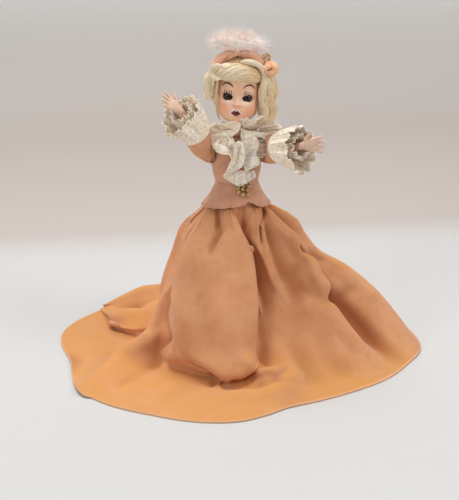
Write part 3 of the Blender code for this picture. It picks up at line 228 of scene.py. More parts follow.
def cloth_surface(around, down):
    """The skirt's face as rows of points in metres: around counts folds, down counts levels."""
    table = np.zeros((len(folds) + 2 + 1, len(turn_shares), 3))
    for index in range(-1, len(folds) + 2):
        turns, reaches, heights = folds[index % len(folds)]
        turned = 360 * (index // len(folds))
        if len(turns) == 2:
            turns = [turns[0] + (turns[1] - turns[0]) * share for share in turn_shares[1:]]
        for level in range(10):
            reach = reaches[level - 1] / 1000 if level else (waist_width + waist_depth) / 2
            rise = heights[level - 1] / 1000 if level else seam_height
            table[index + 1, level] = radians(turns[max(0, level - 1)] + turned), reach, rise
    sideways = np.zeros((len(around), len(table)))
    for row, place in enumerate(around):
        first = int(place)
        part = place - first
        sideways[row, first:first + 4] = (
            (-part + 2 * part**2 - part**3) / 2, (2 - 5 * part**2 + 3 * part**3) / 2,
            (part + 4 * part**2 - 3 * part**3) / 2, (part**3 - part**2) / 2)
    grid = np.einsum("rl,cf,flk->rck", curve_weights(down, len(turn_shares)), sideways, table)
    flat = np.maximum(0, 1 - np.array(down))[:, None]
    middle = (waist_width + waist_depth) / 2
    wide, deep = 1 + flat * (waist_width / middle - 1), 1 + flat * (waist_depth / middle - 1)
    angle, reach, rise = grid[..., 0], grid[..., 1], grid[..., 2]
    return np.stack((reach * wide * np.sin(angle), -reach * deep * np.cos(angle), rise), -1)


def grid_normals(grid):
    """Outward directions of a grid that closes on itself from column to column."""
    across = np.roll(grid, -1, 1) - np.roll(grid, 1, 1)
    downward = np.gradient(grid, axis=0)
    normals = np.cross(downward, across)
    return normals / np.maximum(np.linalg.norm(normals, axis=-1, keepdims=True), 1e-12)


# Creases: how far the cloth is pushed out, the crease's width on its two sides, what is left of it at
# its two ends, and the points of its line, all lengths in mm.
creases = (
    (3.0, 1.0, 9, 0.3, 0.4, ((-17.7, -3.2, 94.1), (-24.3, 2.5, 80.7), (-32.7, -11.4, 66.9),
        (-35.9, -0.6, 48), (-38.6, -23.5, 35.3), (-40, -26.1, 22.4), (-43, -23.6, 11.7), (-47, -22.2, 2.1))),
    (-4.5, 7, 1.2, 0.2, 0.3, ((-18.6, 4.2, 89.9), (-26.1, 3, 78.8), (-33, 2, 61.1), (-37.3, 0.2, 46.5),
        (-38.8, -5.8, 27.6), (-41.2, -20.8, 20.1), (-43.6, -10.6, 5.6), (-49.3, -21, 1.7))),
    (2.5, 1.2, 5, 0.2, 0.8, ((-22.3, 6.2, 87.8), (-30.8, 6.7, 76), (-35.7, 4.2, 59.4), (-38.3, 2.2, 49.9),
        (-43.2, 2.8, 41.3), (-46.1, 2.6, 35.8), (-50.1, -0.6, 26), (-52.9, -5.5, 18.4), (-56.4, -7.3, 15.5))),
    (4.0, 5, 9, 0.8, 0.3, ((-54.8, -7, 16.3), (-63.9, -9.1, 11.5), (-71.5, -10.9, 8.6), (-78.1, -20.5, 5),
        (-88.6, -34.6, 2.8), (-97.4, -44.7, 1.4))),
    (4.5, 0.9, 10, 0.3, 0.3, ((-76, 54.9, 7.5), (-73.2, 44.4, 2.4), (-68, 33.4, 1.3), (-60.9, 28.1, 2),
        (-52.3, 28.1, 4.7))),
    (-3.5, 7, 0.9, 0.3, 0.3, ((-76.1, 50.8, 7.8), (-73.3, 42.7, 1.8), (-68.2, 30.8, 1.1),
        (-61.1, 25.9, 1.5), (-54.1, -4.6, 18.2))),
    (-2.0, 2.0, 3.0, 0.3, 0.3, ((-75.8, 61.5, 6.4), (-68.7, 55, 8.7), (-57.3, 52.9, 11.1),
        (-45.5, 10.4, 36.3))),
    (-4.5, 1.3, 1.3, 1, 0, ((-12.7, -8.1, 95.6), (-14, -15.1, 88), (-12.8, -18.3, 85.1),
        (-17.8, -20.4, 78.4), (-19, -23.6, 72.3))),
    (-2.0, 4, 2, 0.5, 0, ((-12.6, -17, 86.8), (-16.5, -19.7, 80.6), (-19.8, -23.7, 71.2))),
    (3.5, 7, 0.9, 0, 0.2, ((-4.5, -14, 93.9), (-0.6, -17.4, 82.9), (2.9, -16.5, 71.7), (4.1, -24, 65.1),
        (5.6, -31.4, 50.6), (5.6, -37.9, 36.9), (5.7, -43, 22.4))),
    (-5.5, 0.9, 8, 0.6, 0.2, ((1, -15.1, 80.6), (4.4, -16.3, 71.5), (6.8, -18, 62.6), (9.2, -22.7, 46.8),
        (7.9, -36.1, 36), (7.7, -42.2, 21))),
    (-3.5, 3.5, 3.5, 1, 0.3, ((6.1, 24.7, 86.8), (0.3, -13.3, 94.1), (0.4, -15.1, 88), (0.3, -15.4, 83.2))),
    (1.6, 4, 0.7, 0.7, 0.4, ((-5.9, -11.4, 96.2), (-3.6, -16.3, 90.4), (-0.5, -16.7, 83.6))),
    (1.6, 0.7, 4, 0.7, 0.4, ((9.2, -10.8, 95.3), (4.9, -14.4, 90), (1, -14.9, 82.3))),
    (4.0, 0.9, 6, 0.2, 0.6, ((1, -15, 81.2), (7.6, -16.3, 73.2), (12.6, -18.9, 64.6), (16.4, -21.8, 55.4))),
    (-4.5, 1.1, 1.1, 1, 0.1, ((14.3, -7.3, 94), (12.3, -14.6, 84.2), (12.3, -17.7, 70.5))),
    (2.5, 1.2, 5, 0.3, 0.3, ((14.1, -20.7, 58.3), (17.4, -22.1, 54.3), (20.7, -20.6, 57.9))),
    (4.5, 3.5, 5, 0.4, 0.6, ((18.2, -8.8, 90), (21.7, -10.5, 84.8), (28.4, -13.1, 78.2),
        (38.7, -6.7, 67.1), (41.5, -19.4, 62.3), (41.9, -22.6, 56.3), (46.8, -24.7, 50.2), (56.1, -13, 40.7))),
    (-4.5, 9, 7, 0.3, 0.4, ((25.8, -14.5, 72.9), (30.6, -18.4, 64.1), (34.2, -22.3, 54))),
    (-3.5, 2.5, 2.5, 0.3, 0.2, ((35.7, -24.1, 49.6), (38.5, -25.7, 46.9), (43.7, -27.7, 44.2),
        (50.8, -27.7, 43.5), (61.6, -13.2, 39.2), (69.2, -11.4, 41.9), (74.3, -9.5, 43.5))),
    (2.5, 4, 6, 0.3, 0.3, ((44.6, -24.4, 51.7), (56.3, -12, 43.6), (65.3, -10.4, 45.7))),
    (2.5, 4, 3, 0.6, 0.5, ((21.2, -2.3, 91.5), (29.2, -1.6, 87.2), (34.9, -1, 82.9), (37.5, -3.7, 76.8))),
    (-3.0, 3.0, 1.5, 0.4, 0.2, ((38.5, -3.5, 76.2), (39.7, -6.2, 67.7), (44.8, -6.5, 62.9),
        (54.4, -6.2, 58.5))),
    (-1.2, 2.5, 2.5, 1, 1, ((57, -11, 46.4), (59.4, -11.7, 43.9))),
    (-1.2, 2.0, 2.0, 1, 1, ((64.4, -12, 41.8), (67.6, -11.3, 42.6))),
    (-2.6, 6, 6, 0.3, 0.2, ((59.5, -14.8, 35.4), (69.2, -17.5, 26.7), (82, -23.3, 13.1), (90.1, -31.3, 5.1))),
    (1.5, 5, 5, 0.3, 0.2, ((67.2, -14, 35.9), (78.2, -18.8, 21.1), (89.7, -25.7, 8.8))),
    (-1.8, 6, 6, 0.2, 0.1, ((45.7, -32.9, 32.3), (54.9, -39.7, 21.4), (67.1, -45.3, 11.9))),
    (1.2, 5, 5, 0.3, 0.2, ((53.2, -34.4, 31.2), (61.4, -39, 22.5), (74.6, -41.2, 11.6))),
    (-0.7, 1.5, 1.5, 0.3, 0.3, ((21.3, -24.9, 45), (28, -28.6, 36))),
    (4.0, 1.0, 8, 0.2, 0.6, ((-32.8, -36.7, 16), (-24.1, -44.9, 13.2), (-16.2, -49.1, 8.2),
        (-8.6, -43.2, 1.6), (-3.5, -48.4, 5.6), (-0.5, -51.1, 11.3))),
    (-4.5, 6, 1.5, 0.3, 0.4, ((-42.5, -26.3, 8.4), (-33, -37.7, 10.1), (-24.2, -45.3, 8.8),
        (-15.7, -45.5, 2.5), (-6.2, -54.9, 4), (5.2, -62.2, 8.2), (15.4, -62.7, 9.7))),
    (4.0, 1.2, 5, 0.3, 0.4, ((-5.2, -47.8, 18.2), (-0.7, -50.6, 12.6), (6.3, -54.5, 9.3),
        (13.8, -58.8, 11.9), (21.8, -53.3, 12.3), (24.6, -56.8, 10.5))),
    (3.5, 6, 4, 0.1, 0.7, ((-28.3, -71.9, 3.3), (-14.4, -67.9, 5.1), (2.3, -68.4, 6.6), (15.9, -66.3, 7.4),
        (24.2, -59.1, 9.7))),
    (-3.0, 2.0, 6, 0.3, 0.3, ((6.5, -42.7, 22.2), (7.8, -45, 15.4), (12.4, -48.8, 12.4))),
    (0.8, 2, 2, 0.3, 0, ((-102.8, 42.2, 1.1), (-91.3, 33, 1.4), (-81.3, 25.4, 1.4))),
    (-0.7, 1.2, 2, 0.2, 0.2, ((-58.8, -46.8, 1.8), (-48.3, -45.5, 1.9), (-37.8, -49.9, 2.5))),
    (-1.8, 5, 4, 0.4, 0.3, ((-72.8, -41.4, 1.9), (-69.1, -36.4, 2.3), (-62.1, -35.8, 2.1))),
    (1.8, 1.0, 1.4, 0.5, 1, ((-48.2, -25.7, 1.9), (-45.7, -16.6, 2.6), (-43.4, -13, 4.3))),
)


def press(grid, amount, left, right, start, end, points):
    """Pushes the cloth out along one crease, sharper on one side than on the other, all in mm."""
    normals = grid_normals(grid)
    line = np.array(points) / 1000
    near = np.full(grid.shape[:2], 1e9)
    side, run = np.zeros_like(near), np.zeros_like(near)
    lengths = np.linalg.norm(np.diff(line, axis=0), axis=1)
    total, done = lengths.sum(), 0
    for first, second, length in zip(line, line[1:], lengths):
        along = (second - first) / length
        part = np.clip(((grid - first) @ along) / length, 0, 1)
        offset = grid - first - part[..., None] * (second - first)
        distance = np.linalg.norm(offset, axis=-1)
        signed = np.einsum("rck,rck->rc", offset, np.cross(normals, along))
        closer = distance < near
        near, side = np.where(closer, distance, near), np.where(closer, signed, side)
        run = np.where(closer, (done + part * length) / total, run)
        done += length
    width = np.where(side < 0, left, right) / 1000
    fade = np.minimum(1, np.minimum(start + run * 4 * (1 - start), end + (1 - run) * 4 * (1 - end)))
    return grid + normals * (amount / 1000 * fade * np.exp(-(near / width) ** 2))[..., None]


def soften(grid, rounds):
    """Evens out a closed grid, its first and last rows kept."""
    for _ in range(rounds):
        sides = (np.roll(grid, 1, 1) + np.roll(grid, -1, 1)) / 2
        ends = grid.copy()
        ends[1:-1] = (grid[:-2] + grid[2:]) / 2
        grid = grid + ((sides + ends) / 2 - grid) * 0.5
    return grid


def lengths_along(grid, closed):
    """Real lengths of a sheet's rows and columns, for its UV map in metres."""
    wide = np.concatenate((grid, grid[:, :1]), 1) if closed else grid
    across = np.linalg.norm(np.diff(wide, axis=1), axis=-1)
    widest = across[np.argmax(across.sum(1))]
    down = np.linalg.norm(np.diff(grid, axis=0), axis=-1).mean(1)
    return np.concatenate(([0], np.cumsum(widest))), np.concatenate(([0], np.cumsum(down)))


def marked(made, marks):
    """Gives a piece named values, one for each of its points."""
    for word, values in marks.items():
        values = np.array(values, dtype=np.float32)
        made.data.attributes.new(word, "FLOAT", "POINT").data.foreach_set("value", values)
    return made


def sheet_object(name, grid, finish, thickness, closed=True, marks=None):
    """A sheet of cloth from rows of points that run down and anticlockwise, with its second face and rims."""
    rows, count = grid.shape[:2]
    inner = grid - grid_normals(grid) * thickness if closed else grid - open_normals(grid) * thickness
    across, down = lengths_along(grid, closed)
    points = np.concatenate((grid.reshape(-1, 3), inner.reshape(-1, 3)))
    under = rows * count
    faces, places = [], []
    last = count if closed else count - 1
    for r in range(rows - 1):
        for c in range(last):
            corners = ((r, c), (r + 1, c), (r + 1, c + 1), (r, c + 1))
            face = [row * count + column % count for row, column in corners]
            place = [(across[column], down[row]) for row, column in corners]
            faces += [face, [under + index for index in face[::-1]]]
            places += place + place[::-1]
    rims = [((0, c), (0, c + 1)) for c in range(last)] + [((rows - 1, c + 1), (rows - 1, c)) for c in range(last)]
    if not closed:
        rims += [((r + 1, 0), (r, 0)) for r in range(rows - 1)]
        rims += [((r, count - 1), (r + 1, count - 1)) for r in range(rows - 1)]
    for first, second in rims:
        here, there = (row * count + column % count for row, column in (first, second))
        faces.append([here, there, under + there, under + here])
        places += [(across[first[1]], down[first[0]]), (across[second[1]], down[second[0]])]
        places += [(across[second[1]], down[second[0]]), (across[first[1]], down[first[0]])]
    made = mesh_object(name, points, faces, finish)
    made.data.uv_layers.new(name="cloth").data.foreach_set("uv", np.array(places, dtype=np.float32).ravel())
    return marked(made, {word: np.tile(values.ravel(), 2) for word, values in (marks or {}).items()})


def open_normals(grid):
    """Outward directions of a grid with free sides."""
    normals = np.cross(np.gradient(grid, axis=0), np.gradient(grid, axis=1))
    return normals / np.maximum(np.linalg.norm(normals, axis=-1, keepdims=True), 1e-12)


around = []
for fold in range(len(folds)):
    steps = 18 if fold < 19 else 12
    around += [fold + step / steps for step in range(steps)]
downs = np.concatenate((np.linspace(0, 2, 30, endpoint=False), np.linspace(2, 8, 62, endpoint=False),
                        np.linspace(8, 9, 14)))
skirt_grid = cloth_surface(around, downs)
front = np.arctan2(skirt_grid[..., 0], -skirt_grid[..., 1])
point = 0.0012 * np.maximum(0, np.cos(front)) ** 2 + 0.0038 * np.exp(-((front - radians(17)) / radians(14)) ** 2)
skirt_grid[..., 2] += point * np.clip(1 - downs / 1.3, 0, 1)[:, None]
for amount, left, right, start, end, points in creases:
    skirt_grid = press(skirt_grid, amount, left, right, start, end, points)
turn = np.array(around)[None, :]
gather = np.clip((downs - 0.05) / 0.5, 0, 1) * np.clip((2.6 - downs) / 1.6, 0, 1)
pleats = np.abs(np.sin(pi * (1.35 * turn + 0.35 * np.sin(2.1 * turn) + 0.2 * np.sin(5.3 * turn)))) - 0.6
skirt_grid = skirt_grid + grid_normals(skirt_grid) * (gather[:, None] * pleats * 0.0011)[..., None]
skirt_grid = soften(skirt_grid, 3)
lying = np.clip((grid_normals(skirt_grid)[..., 2] - 0.55) / 0.4, 0, 1)
skirt_grid[..., 2] = np.maximum(skirt_grid[..., 2], 0.0012)


def node_group(name, kind, inputs, outputs):
    """A node group with its inputs and outputs; an input is a type, or a type and its first value."""
    made = bpy.data.node_groups.new(name, kind)
    for word, (socket, *value) in inputs.items():
        entry = made.interface.new_socket(word, in_out="INPUT", socket_type="NodeSocket" + socket)
        if value:
            entry.default_value = value[0]
    for word, socket in outputs.items():
        made.interface.new_socket(word, in_out="OUTPUT", socket_type="NodeSocket" + socket)
    return made, made.nodes.new("NodeGroupInput"), made.nodes.new("NodeGroupOutput")


def calculated(tree, operation, first, second):
    """The result of one sum or comparison."""
    return add_node(tree, "ShaderNodeMath", {0: first, 1: second}, operation=operation).outputs[0]


def noise(tree, place, scale, detail=2.0):
    """A soft random pattern."""
    return add_node(tree, "ShaderNodeTexNoise", {"Vector": place, "Scale": scale, "Detail": detail}).outputs["Fac"]


def object_place(tree):
    """Where a point lies on the whole object."""
    return add_node(tree, "ShaderNodeTexCoord").outputs["Object"]


def attribute(tree, name):
    """The value that the mesh holds under a name."""
    return add_node(tree, "ShaderNodeAttribute", attribute_name=name).outputs["Fac"]


def mixed(tree, share, first, second):
    """A colour between two, each a colour or a socket."""
    first, second = (tone if isinstance(tone, bpy.types.NodeSocket) else (*tone, 1) for tone in (first, second))
    return add_node(tree, "ShaderNodeMix", {0: share, 6: first, 7: second}, data_type="RGBA").outputs[2]


def ranged(tree, value, low, high, to_low=0.0, to_high=1.0):
    """A value stretched from one range to another and kept inside it."""
    inputs = {"Value": value, "From Min": low, "From Max": high, "To Min": to_low, "To Max": to_high}
    return add_node(tree, "ShaderNodeMapRange", inputs).outputs["Result"]


def bumped(tree, shader, height, strength, distance):
    """Links a height to the shader as a bump of a depth in metres."""
    bump = add_node(tree, "ShaderNodeBump", {"Height": height, "Strength": strength, "Distance": distance})
    tree.links.new(bump.outputs["Normal"], shader.inputs["Normal"])


nap, given, result = node_group(
    "brushed_nap", "ShaderNodeTree",
    {"Vector": ["Vector"], "Fibre Scale": ["Float", 1400], "Mottle Scale": ["Float", 60]},
    {"Height": "Float", "Mottle": "Float", "Specks": "Float"})
place = given.outputs["Vector"]
fibres = add_node(nap, "ShaderNodeTexNoise", {
    "Vector": place, "Scale": given.outputs["Fibre Scale"], "Detail": 3.0, "Roughness": 0.65})
height = calculated(nap, "MULTIPLY", noise(nap, place, 260.0), 1.2)
nap.links.new(calculated(nap, "ADD", height, fibres.outputs["Fac"]), result.inputs["Height"])
patches = add_node(nap, "ShaderNodeTexNoise", {
    "Vector": place, "Scale": given.outputs["Mottle Scale"], "Detail": 5.0, "Roughness": 0.6})
nap.links.new(patches.outputs["Fac"], result.inputs["Mottle"])
dots = add_node(nap, "ShaderNodeTexVoronoi", {"Vector": place, "Scale": 95.0})
parted = add_node(nap, "ShaderNodeSeparateColor", {"Color": dots.outputs["Color"]})
rare = calculated(nap, "LESS_THAN", parted.outputs["Red"], 0.16)
specks = calculated(nap, "MULTIPLY", ranged(nap, dots.outputs["Distance"], 0.05, 0.025), rare)
nap.links.new(specks, result.inputs["Specks"])


def napped_cloth(name, light, deep, stain, fibre_scale=1400.0, mottle_scale=60.0, depth=0.00012, sheen=0.35):
    """Brushed cloth or felt: two tones in soft patches, a fibre bump and a few dark specks."""
    made, tree, shader = new_material(name)
    place = add_node(tree, "ShaderNodeTexCoord").outputs["Object"]
    cloth = add_node(tree, "ShaderNodeGroup", node_tree=nap)
    tree.links.new(place, cloth.inputs["Vector"])
    cloth.inputs["Fibre Scale"].default_value = fibre_scale
    cloth.inputs["Mottle Scale"].default_value = mottle_scale
    tone = mixed(tree, ranged(tree, cloth.outputs["Mottle"], 0.35, 0.65), light, deep)
    tone = mixed(tree, ranged(tree, cloth.outputs["Specks"], 0, 1, 0, 0.75), tone, stain)
    tree.links.new(tone, shader.inputs["Base Color"])
    shader.inputs["Roughness"].default_value = 0.92
    shader.inputs["Specular IOR Level"].default_value = 0.2
    shader.inputs["Sheen Weight"].default_value = sheen
    shader.inputs["Sheen Roughness"].default_value = 0.6
    shader.inputs["Sheen Tint"].default_value = (1, 0.9, 0.82, 1)
    bumped(tree, shader, cloth.outputs["Height"], 0.6, depth)
    return made, tree, shader, cloth, tone


brushed_cotton, tree, shader, cloth, tone = napped_cloth(
    "peach_brushed_cotton", (0.70, 0.34, 0.175), (0.60, 0.265, 0.115), (0.20, 0.06, 0.02), sheen=0.2)
faded = ranged(tree, cloth.outputs["Mottle"], 0.3, 0.6, 0.55, 1)
tone = mixed(tree, calculated(tree, "MULTIPLY", attribute(tree, "lying"), faded), tone, (0.68, 0.31, 0.09))
# Painted shade: cloth in the hollows of the folds darkens towards deep red-brown.
tone = mixed(tree, ranged(tree, attribute(tree, "painted_fold_shade"), 0, 1, 0, 0.85), tone, (0.30, 0.065, 0.010))
edge = attribute(tree, "hem")
tone = mixed(tree, ranged(tree, edge, 0.0012, 0.0004, 0, 0.5), tone, (0.86, 0.55, 0.36))
tree.links.new(tone, shader.inputs["Base Color"])
seam = calculated(tree, "ADD", cloth.outputs["Height"], ranged(tree, edge, 0.0052, 0.0047))
bumped(tree, shader, seam, 0.6, 0.00014)


def from_free_edge(grid):
    """How far each point of a sheet is from its last row, along its column."""
    steps = np.linalg.norm(np.diff(grid, axis=0), axis=-1)
    return np.concatenate((np.cumsum(steps[::-1], axis=0)[::-1], np.zeros((1, grid.shape[1]))))


# Painted shade in the folds: cloth that sits further in or lower than its neighbours round the skirt is marked, and the
# material darkens it.
reach_out = np.hypot(skirt_grid[..., 0], skirt_grid[..., 1])
near = range(-skirt_grid.shape[1] // 26, skirt_grid.shape[1] // 26 + 1, 2)
behind = sum(np.roll(reach_out, step, 1) for step in near) / len(near) - reach_out
below = sum(np.roll(skirt_grid[..., 2], step, 1) for step in near) / len(near) - skirt_grid[..., 2]
painted_fold_shade = np.clip((np.maximum(behind, below) - 0.0007) / 0.0040, 0, 1)
skirt = sheet_object("skirt_cloth", skirt_grid, brushed_cotton, 0.0010,
                     marks={"lying": lying, "hem": from_free_edge(skirt_grid), "painted_fold_shade": painted_fold_shade})
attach(skirt, "body_and_skirt")
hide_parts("skirt")


# The lining: a second layer of plain cotton, sewn in at the waist and the hem. It is the outside of the
# skirt when the other doll is up.
lining_cotton = napped_cloth(
    "lining_cotton", (0.66, 0.40, 0.26), (0.58, 0.33, 0.20), (0.20, 0.09, 0.05), 2200.0, 50.0, 0.00006, 0.15)[0]
lining_grid = skirt_grid[3::2, ::2] - grid_normals(skirt_grid)[3::2, ::2] * 0.0013
lining_grid = soften(lining_grid, 1)[:-3]
lining_grid[..., 2] = np.maximum(lining_grid[..., 2], 0.0006)
lining = sheet_object("skirt_lining_cloth", lining_grid, lining_cotton, 0.0005)
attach(lining, "body_and_skirt")
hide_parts("skirt_lining")


# The bodices: a fitted shell of dusty pink felt on the doll above and one of faded peach cotton on the
# doll below, cut out round the arms and slipped over the hard torsos.
upper_root = Matrix.Translation((0, 0, 0.0915))
lower_root = upper_root @ Matrix.Rotation(pi, 4, "Y")
torso_rows = np.array((
    (0, 14.14, 10.6), (5.85, 13.46, 10.1), (13.06, 11.7, 8.7), (17.56, 11.08, 8.3), (24.3, 12.92, 9.6),
    (30.2, 13.6, 10), (36, 13.19, 9.3), (40.5, 11.7, 8), (43.2, 8.43, 6.4), (45, 5.44, 5.1))) / 1000


def on_torso(rise, angle, out, drift):
    """A point at a height and an angle round a torso, a distance outside its wall."""
    near = [rise + step for step in (-0.0014, -0.0007, 0, 0.0007, 0.0014)]
    wide, deep = (np.interp(near, torso_rows[:, 0], torso_rows[:, side]).mean() + out for side in (1, 2))
    return wide * cos(angle) + drift * (rise / 0.045) ** 2, deep * sin(angle), rise


def placed(points, frame):
    """Points moved from a frame of their own into the row frame."""
    turn = np.array(frame)
    return np.asarray(points) @ turn[:3, :3].T + turn[:3, 3]


def settled(made):
    """Puts the result of an object's modifiers into its mesh."""
    bpy.context.view_layer.update()
    mesh = bpy.data.meshes.new_from_object(made.evaluated_get(bpy.context.evaluated_depsgraph_get()))
    made.modifiers.clear()
    made.data = mesh
    return made


def cut_away(made, tools):
    """Cuts closed helper solids out of a piece and removes them."""
    for tool in tools:
        step = made.modifiers.new("cut", "BOOLEAN")
        step.operation, step.solver, step.object = "DIFFERENCE", "EXACT", tool
        settled(made)
        bpy.data.objects.remove(tool, do_unlink=True)
    return made


def tube_faces(rows, count):
    """Faces of a closed skin over rows of points, with a cap on each end."""
    faces = [(r * count + c, r * count + (c + 1) % count, (r + 1) * count + (c + 1) % count, (r + 1) * count + c)
             for r in range(rows - 1) for c in range(count)]
    return faces + [tuple(range(count))[::-1], tuple(range((rows - 1) * count, rows * count))]


def tube(rings, finish, name="tool", smooth=False):
    """A closed skin over rings of points that run anticlockwise seen from the last one."""
    points = [point for ring in rings for point in ring]
    return mesh_object(name, points, tube_faces(len(rings), len(rings[0])), finish, smooth)


pink_felt = napped_cloth(
    "dusty_pink_felt", (0.66, 0.34, 0.22), (0.55, 0.255, 0.155), (0.20, 0.07, 0.04), 1700.0, 90.0, 0.00010, 0.4)[0]
faded_cotton = napped_cloth(
    "faded_peach_cotton", (0.74, 0.43, 0.29), (0.66, 0.36, 0.23), (0.22, 0.08, 0.04), 2000.0, 80.0, 0.00007, 0.2)[0]
for word, root, drift, finish in (
        ("upper", upper_root, -0.0015, pink_felt), ("lower", lower_root, 0, faded_cotton)):
    rows = []
    for rise in np.linspace(0.0439, 0.0058, 48):
        row = []
        for step in range(112):
            angle = tau * step / 112
            creases_out = 0.00012 * sin(3 * angle + 260 * rise) + 0.00008 * sin(7 * angle - 420 * rise)
            seam = 0.00022 * exp(-(sin(angle) / 0.035) ** 2)
            row.append(on_torso(rise, angle, 0.0011 + creases_out - seam, drift))
        rows.append(row)
    bodice = sheet_object(word + "_bodice_cloth", placed(rows, root), finish, 0.0008)
    holes = []
    for side in (-1, 1):
        ends = sorted((side * 0.0084, side * 0.022))
        holes.append(tube([placed([(x, 0.0068 * cos(tau * k / 40), 0.0365 + 0.0068 * sin(tau * k / 40))
                                   for k in range(40)], root) for x in ends], finish))
    cut_away(bodice, holes)
    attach(bodice, "body_and_skirt")
    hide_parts(word + "_bodice")


# The basque: the bodice's pink felt skirt piece, flared from the narrow waist over the gathers and
# drawn up by a thread to a point at the front. It is sewn to the bodice along its upper edge.
def basque_point(part, angle):
    """A point of the basque: part runs from its upper edge to its lower one."""
    apex = exp(-(((angle - radians(287)) / radians(13)) ** 2))
    low = 0.0043 + 0.0026 * max(0, -sin(angle)) ** 2 + 0.0030 * apex
    high = 0.0182 + 0.0006 * sin(angle * 2 + 0.5)
    start = on_torso(high, angle, 0.0013, -0.0015)
    flare = part ** 1.25
    gathers = part ** 2 * (0.00035 * sin(34 * angle) + 0.0003 * sin(21 * angle + 1) + 0.0005 * sin(5 * angle))
    wide, deep = 0.0203 + gathers, 0.0163 + gathers
    return (start[0] + (wide * cos(angle) - 0.0004 - start[0]) * flare,
            start[1] + (deep * sin(angle) - start[1]) * flare,
            high + (low - high) * part - 0.0004 * sin(pi * part) * (1 + sin(4 * angle)))


rows = [[basque_point(part, tau * step / 240) for step in range(240)] for part in np.linspace(0, 1, 36)]
basque_grid = placed(rows, upper_root)
basque = sheet_object("peplum_felt", basque_grid, pink_felt, 0.0008)
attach(basque, "body_and_skirt")
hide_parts("peplum")

# The pearls: eleven gilt glass pearls in a loose triangle where the basque comes to its point, each sewn
# through its hole with brown thread.
def two_tone(name, first, second, scale, detail=2.0, span=None):
    """A material that drifts between two colours, with its tree, its shader and its pattern."""
    made, tree, shader = new_material(name)
    pattern = noise(tree, object_place(tree), scale, detail)
    share = ranged(tree, pattern, *span) if span else pattern
    tree.links.new(mixed(tree, share, first, second), shader.inputs["Base Color"])
    return made, tree, shader, pattern


pearl_gilt, tree, shader, worn = two_tone("gilt_pearl", (0.70, 0.48, 0.23), (0.46, 0.27, 0.10), 900.0, 3.0, (0.4, 0.62))
tree.links.new(ranged(tree, worn, 0.3, 0.7, 0.22, 0.4), shader.inputs["Roughness"])
shader.inputs["Metallic"].default_value = 0.55
shader.inputs["Coat Weight"].default_value = 0.5
brown_thread, tree, shader, twist = two_tone("brown_thread", (0.16, 0.07, 0.03), (0.30, 0.15, 0.07), 3000.0)
shader.inputs["Roughness"].default_value = 0.85


def bead_tree(name, radius, segments, rings, finish):
    """A node tree that puts a bead on every point of a mesh, turned a little differently each time."""
    made, given, result = node_group(
        name, "GeometryNodeTree", {"Geometry": ["Geometry"], "Radius": ["Float", radius]}, {"Geometry": "Geometry"})
    bead = add_node(made, "GeometryNodeMeshUVSphere", {"Segments": segments, "Rings": rings,
                                                       "Radius": given.outputs["Radius"]})
    turn = add_node(made, "FunctionNodeRandomValue", {0: (0, 0, 0), 1: (3, 3, 3), "Seed": 4},
                    data_type="FLOAT_VECTOR")
    size = add_node(made, "FunctionNodeRandomValue", {2: 0.9, 3: 1.08, "Seed": 7}, data_type="FLOAT")
    spread = add_node(made, "GeometryNodeInstanceOnPoints", {
        "Points": given.outputs["Geometry"], "Instance": bead.outputs["Mesh"], "Rotation": turn.outputs[0],
        "Scale": size.outputs[1]})
    real = add_node(made, "GeometryNodeRealizeInstances", {"Geometry": spread.outputs["Instances"]})
    round_skin = add_node(made, "GeometryNodeSetShadeSmooth", {"Geometry": real.outputs[0]})
    painted = add_node(made, "GeometryNodeSetMaterial", {"Geometry": round_skin.outputs[0], "Material": finish})
    made.links.new(painted.outputs[0], result.inputs["Geometry"])
    return made


def grown(name, points, radius, tree, finish, edges=()):
    """A piece grown by a node tree from points in metres and the edges between them."""
    base = mesh_object(name, points, [], finish, False, edges)
    step = base.modifiers.new("grow", "NODES")
    step.node_group = tree
    sockets = {item.name: item.identifier for item in tree.interface.items_tree if item.in_out == "INPUT"}
    step[sockets["Radius"]] = radius
    return settled(base)


def skin_of(*pieces):
    """A search tree over the faces of several pieces."""
    points, faces = [], []
    for piece in pieces:
        start = len(points)
        points += [vertex.co.copy() for vertex in piece.data.vertices]
        faces += [[start + index for index in face.vertices] for face in piece.data.polygons]
    return BVHTree.FromPolygons(points, faces)


pearl_places = ((3.3, 111.7), (5.5, 111.8), (-0.1, 110.7), (2.1, 109.4), (4.8, 108.9), (-1.1, 108.0), (1.4, 107.2),
                (4.2, 106.5), (-0.8, 105.9), (1.6, 104.4), (4.5, 104.4))
front_skin = skin_of(basque, bpy.data.objects["upper_bodice_cloth"])
pearl_points = []
pearl_radius, pearl_sunk = 0.00135, 0.00035
for x, z in pearl_places:
    hit, facing = front_skin.ray_cast(Vector((x / 1000, -0.05, z / 1000)), Vector((0, 1, 0)))[:2]
    pearl_points.append(hit + facing * (pearl_radius - pearl_sunk))
pearls = grown("gilt_pearls", pearl_points, pearl_radius, bead_tree("pearls", pearl_radius, 16, 10, pearl_gilt),
               pearl_gilt)
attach(pearls, "body_and_skirt")
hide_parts("bead_cluster")


def cord_rings(path, radius, sides=6):
    """Rings of a round cord along a path; a number or one radius per point."""
    rings, up = [], Vector((0, 0, 1))
    for index, point in enumerate(path):
        along = (Vector(path[min(index + 1, len(path) - 1)]) - Vector(path[max(index - 1, 0)])).normalized()
        first = along.cross(up if abs(along.dot(up)) < 0.95 else Vector((1, 0, 0))).normalized()
        second = along.cross(first)
        wide = radius[index] if hasattr(radius, "__len__") else radius
        rings.append([Vector(point) + wide * (first * cos(tau * k / sides) + second * sin(tau * k / sides))
                      for k in range(sides)])
    return rings


def joined(name, pieces):
    """Several pieces made into one."""
    bpy.context.view_layer.update()
    total = bmesh.new()
    for piece in pieces:
        total.from_mesh(piece.data)
    mesh = bpy.data.meshes.new(name)
    total.to_mesh(mesh)
    total.free()
    for finish in pieces[0].data.materials:
        mesh.materials.append(finish)
    for piece in pieces:
        bpy.data.objects.remove(piece, do_unlink=True)
    made = bpy.data.objects.new(name, mesh)
    bpy.context.scene.collection.objects.link(made)
    return made


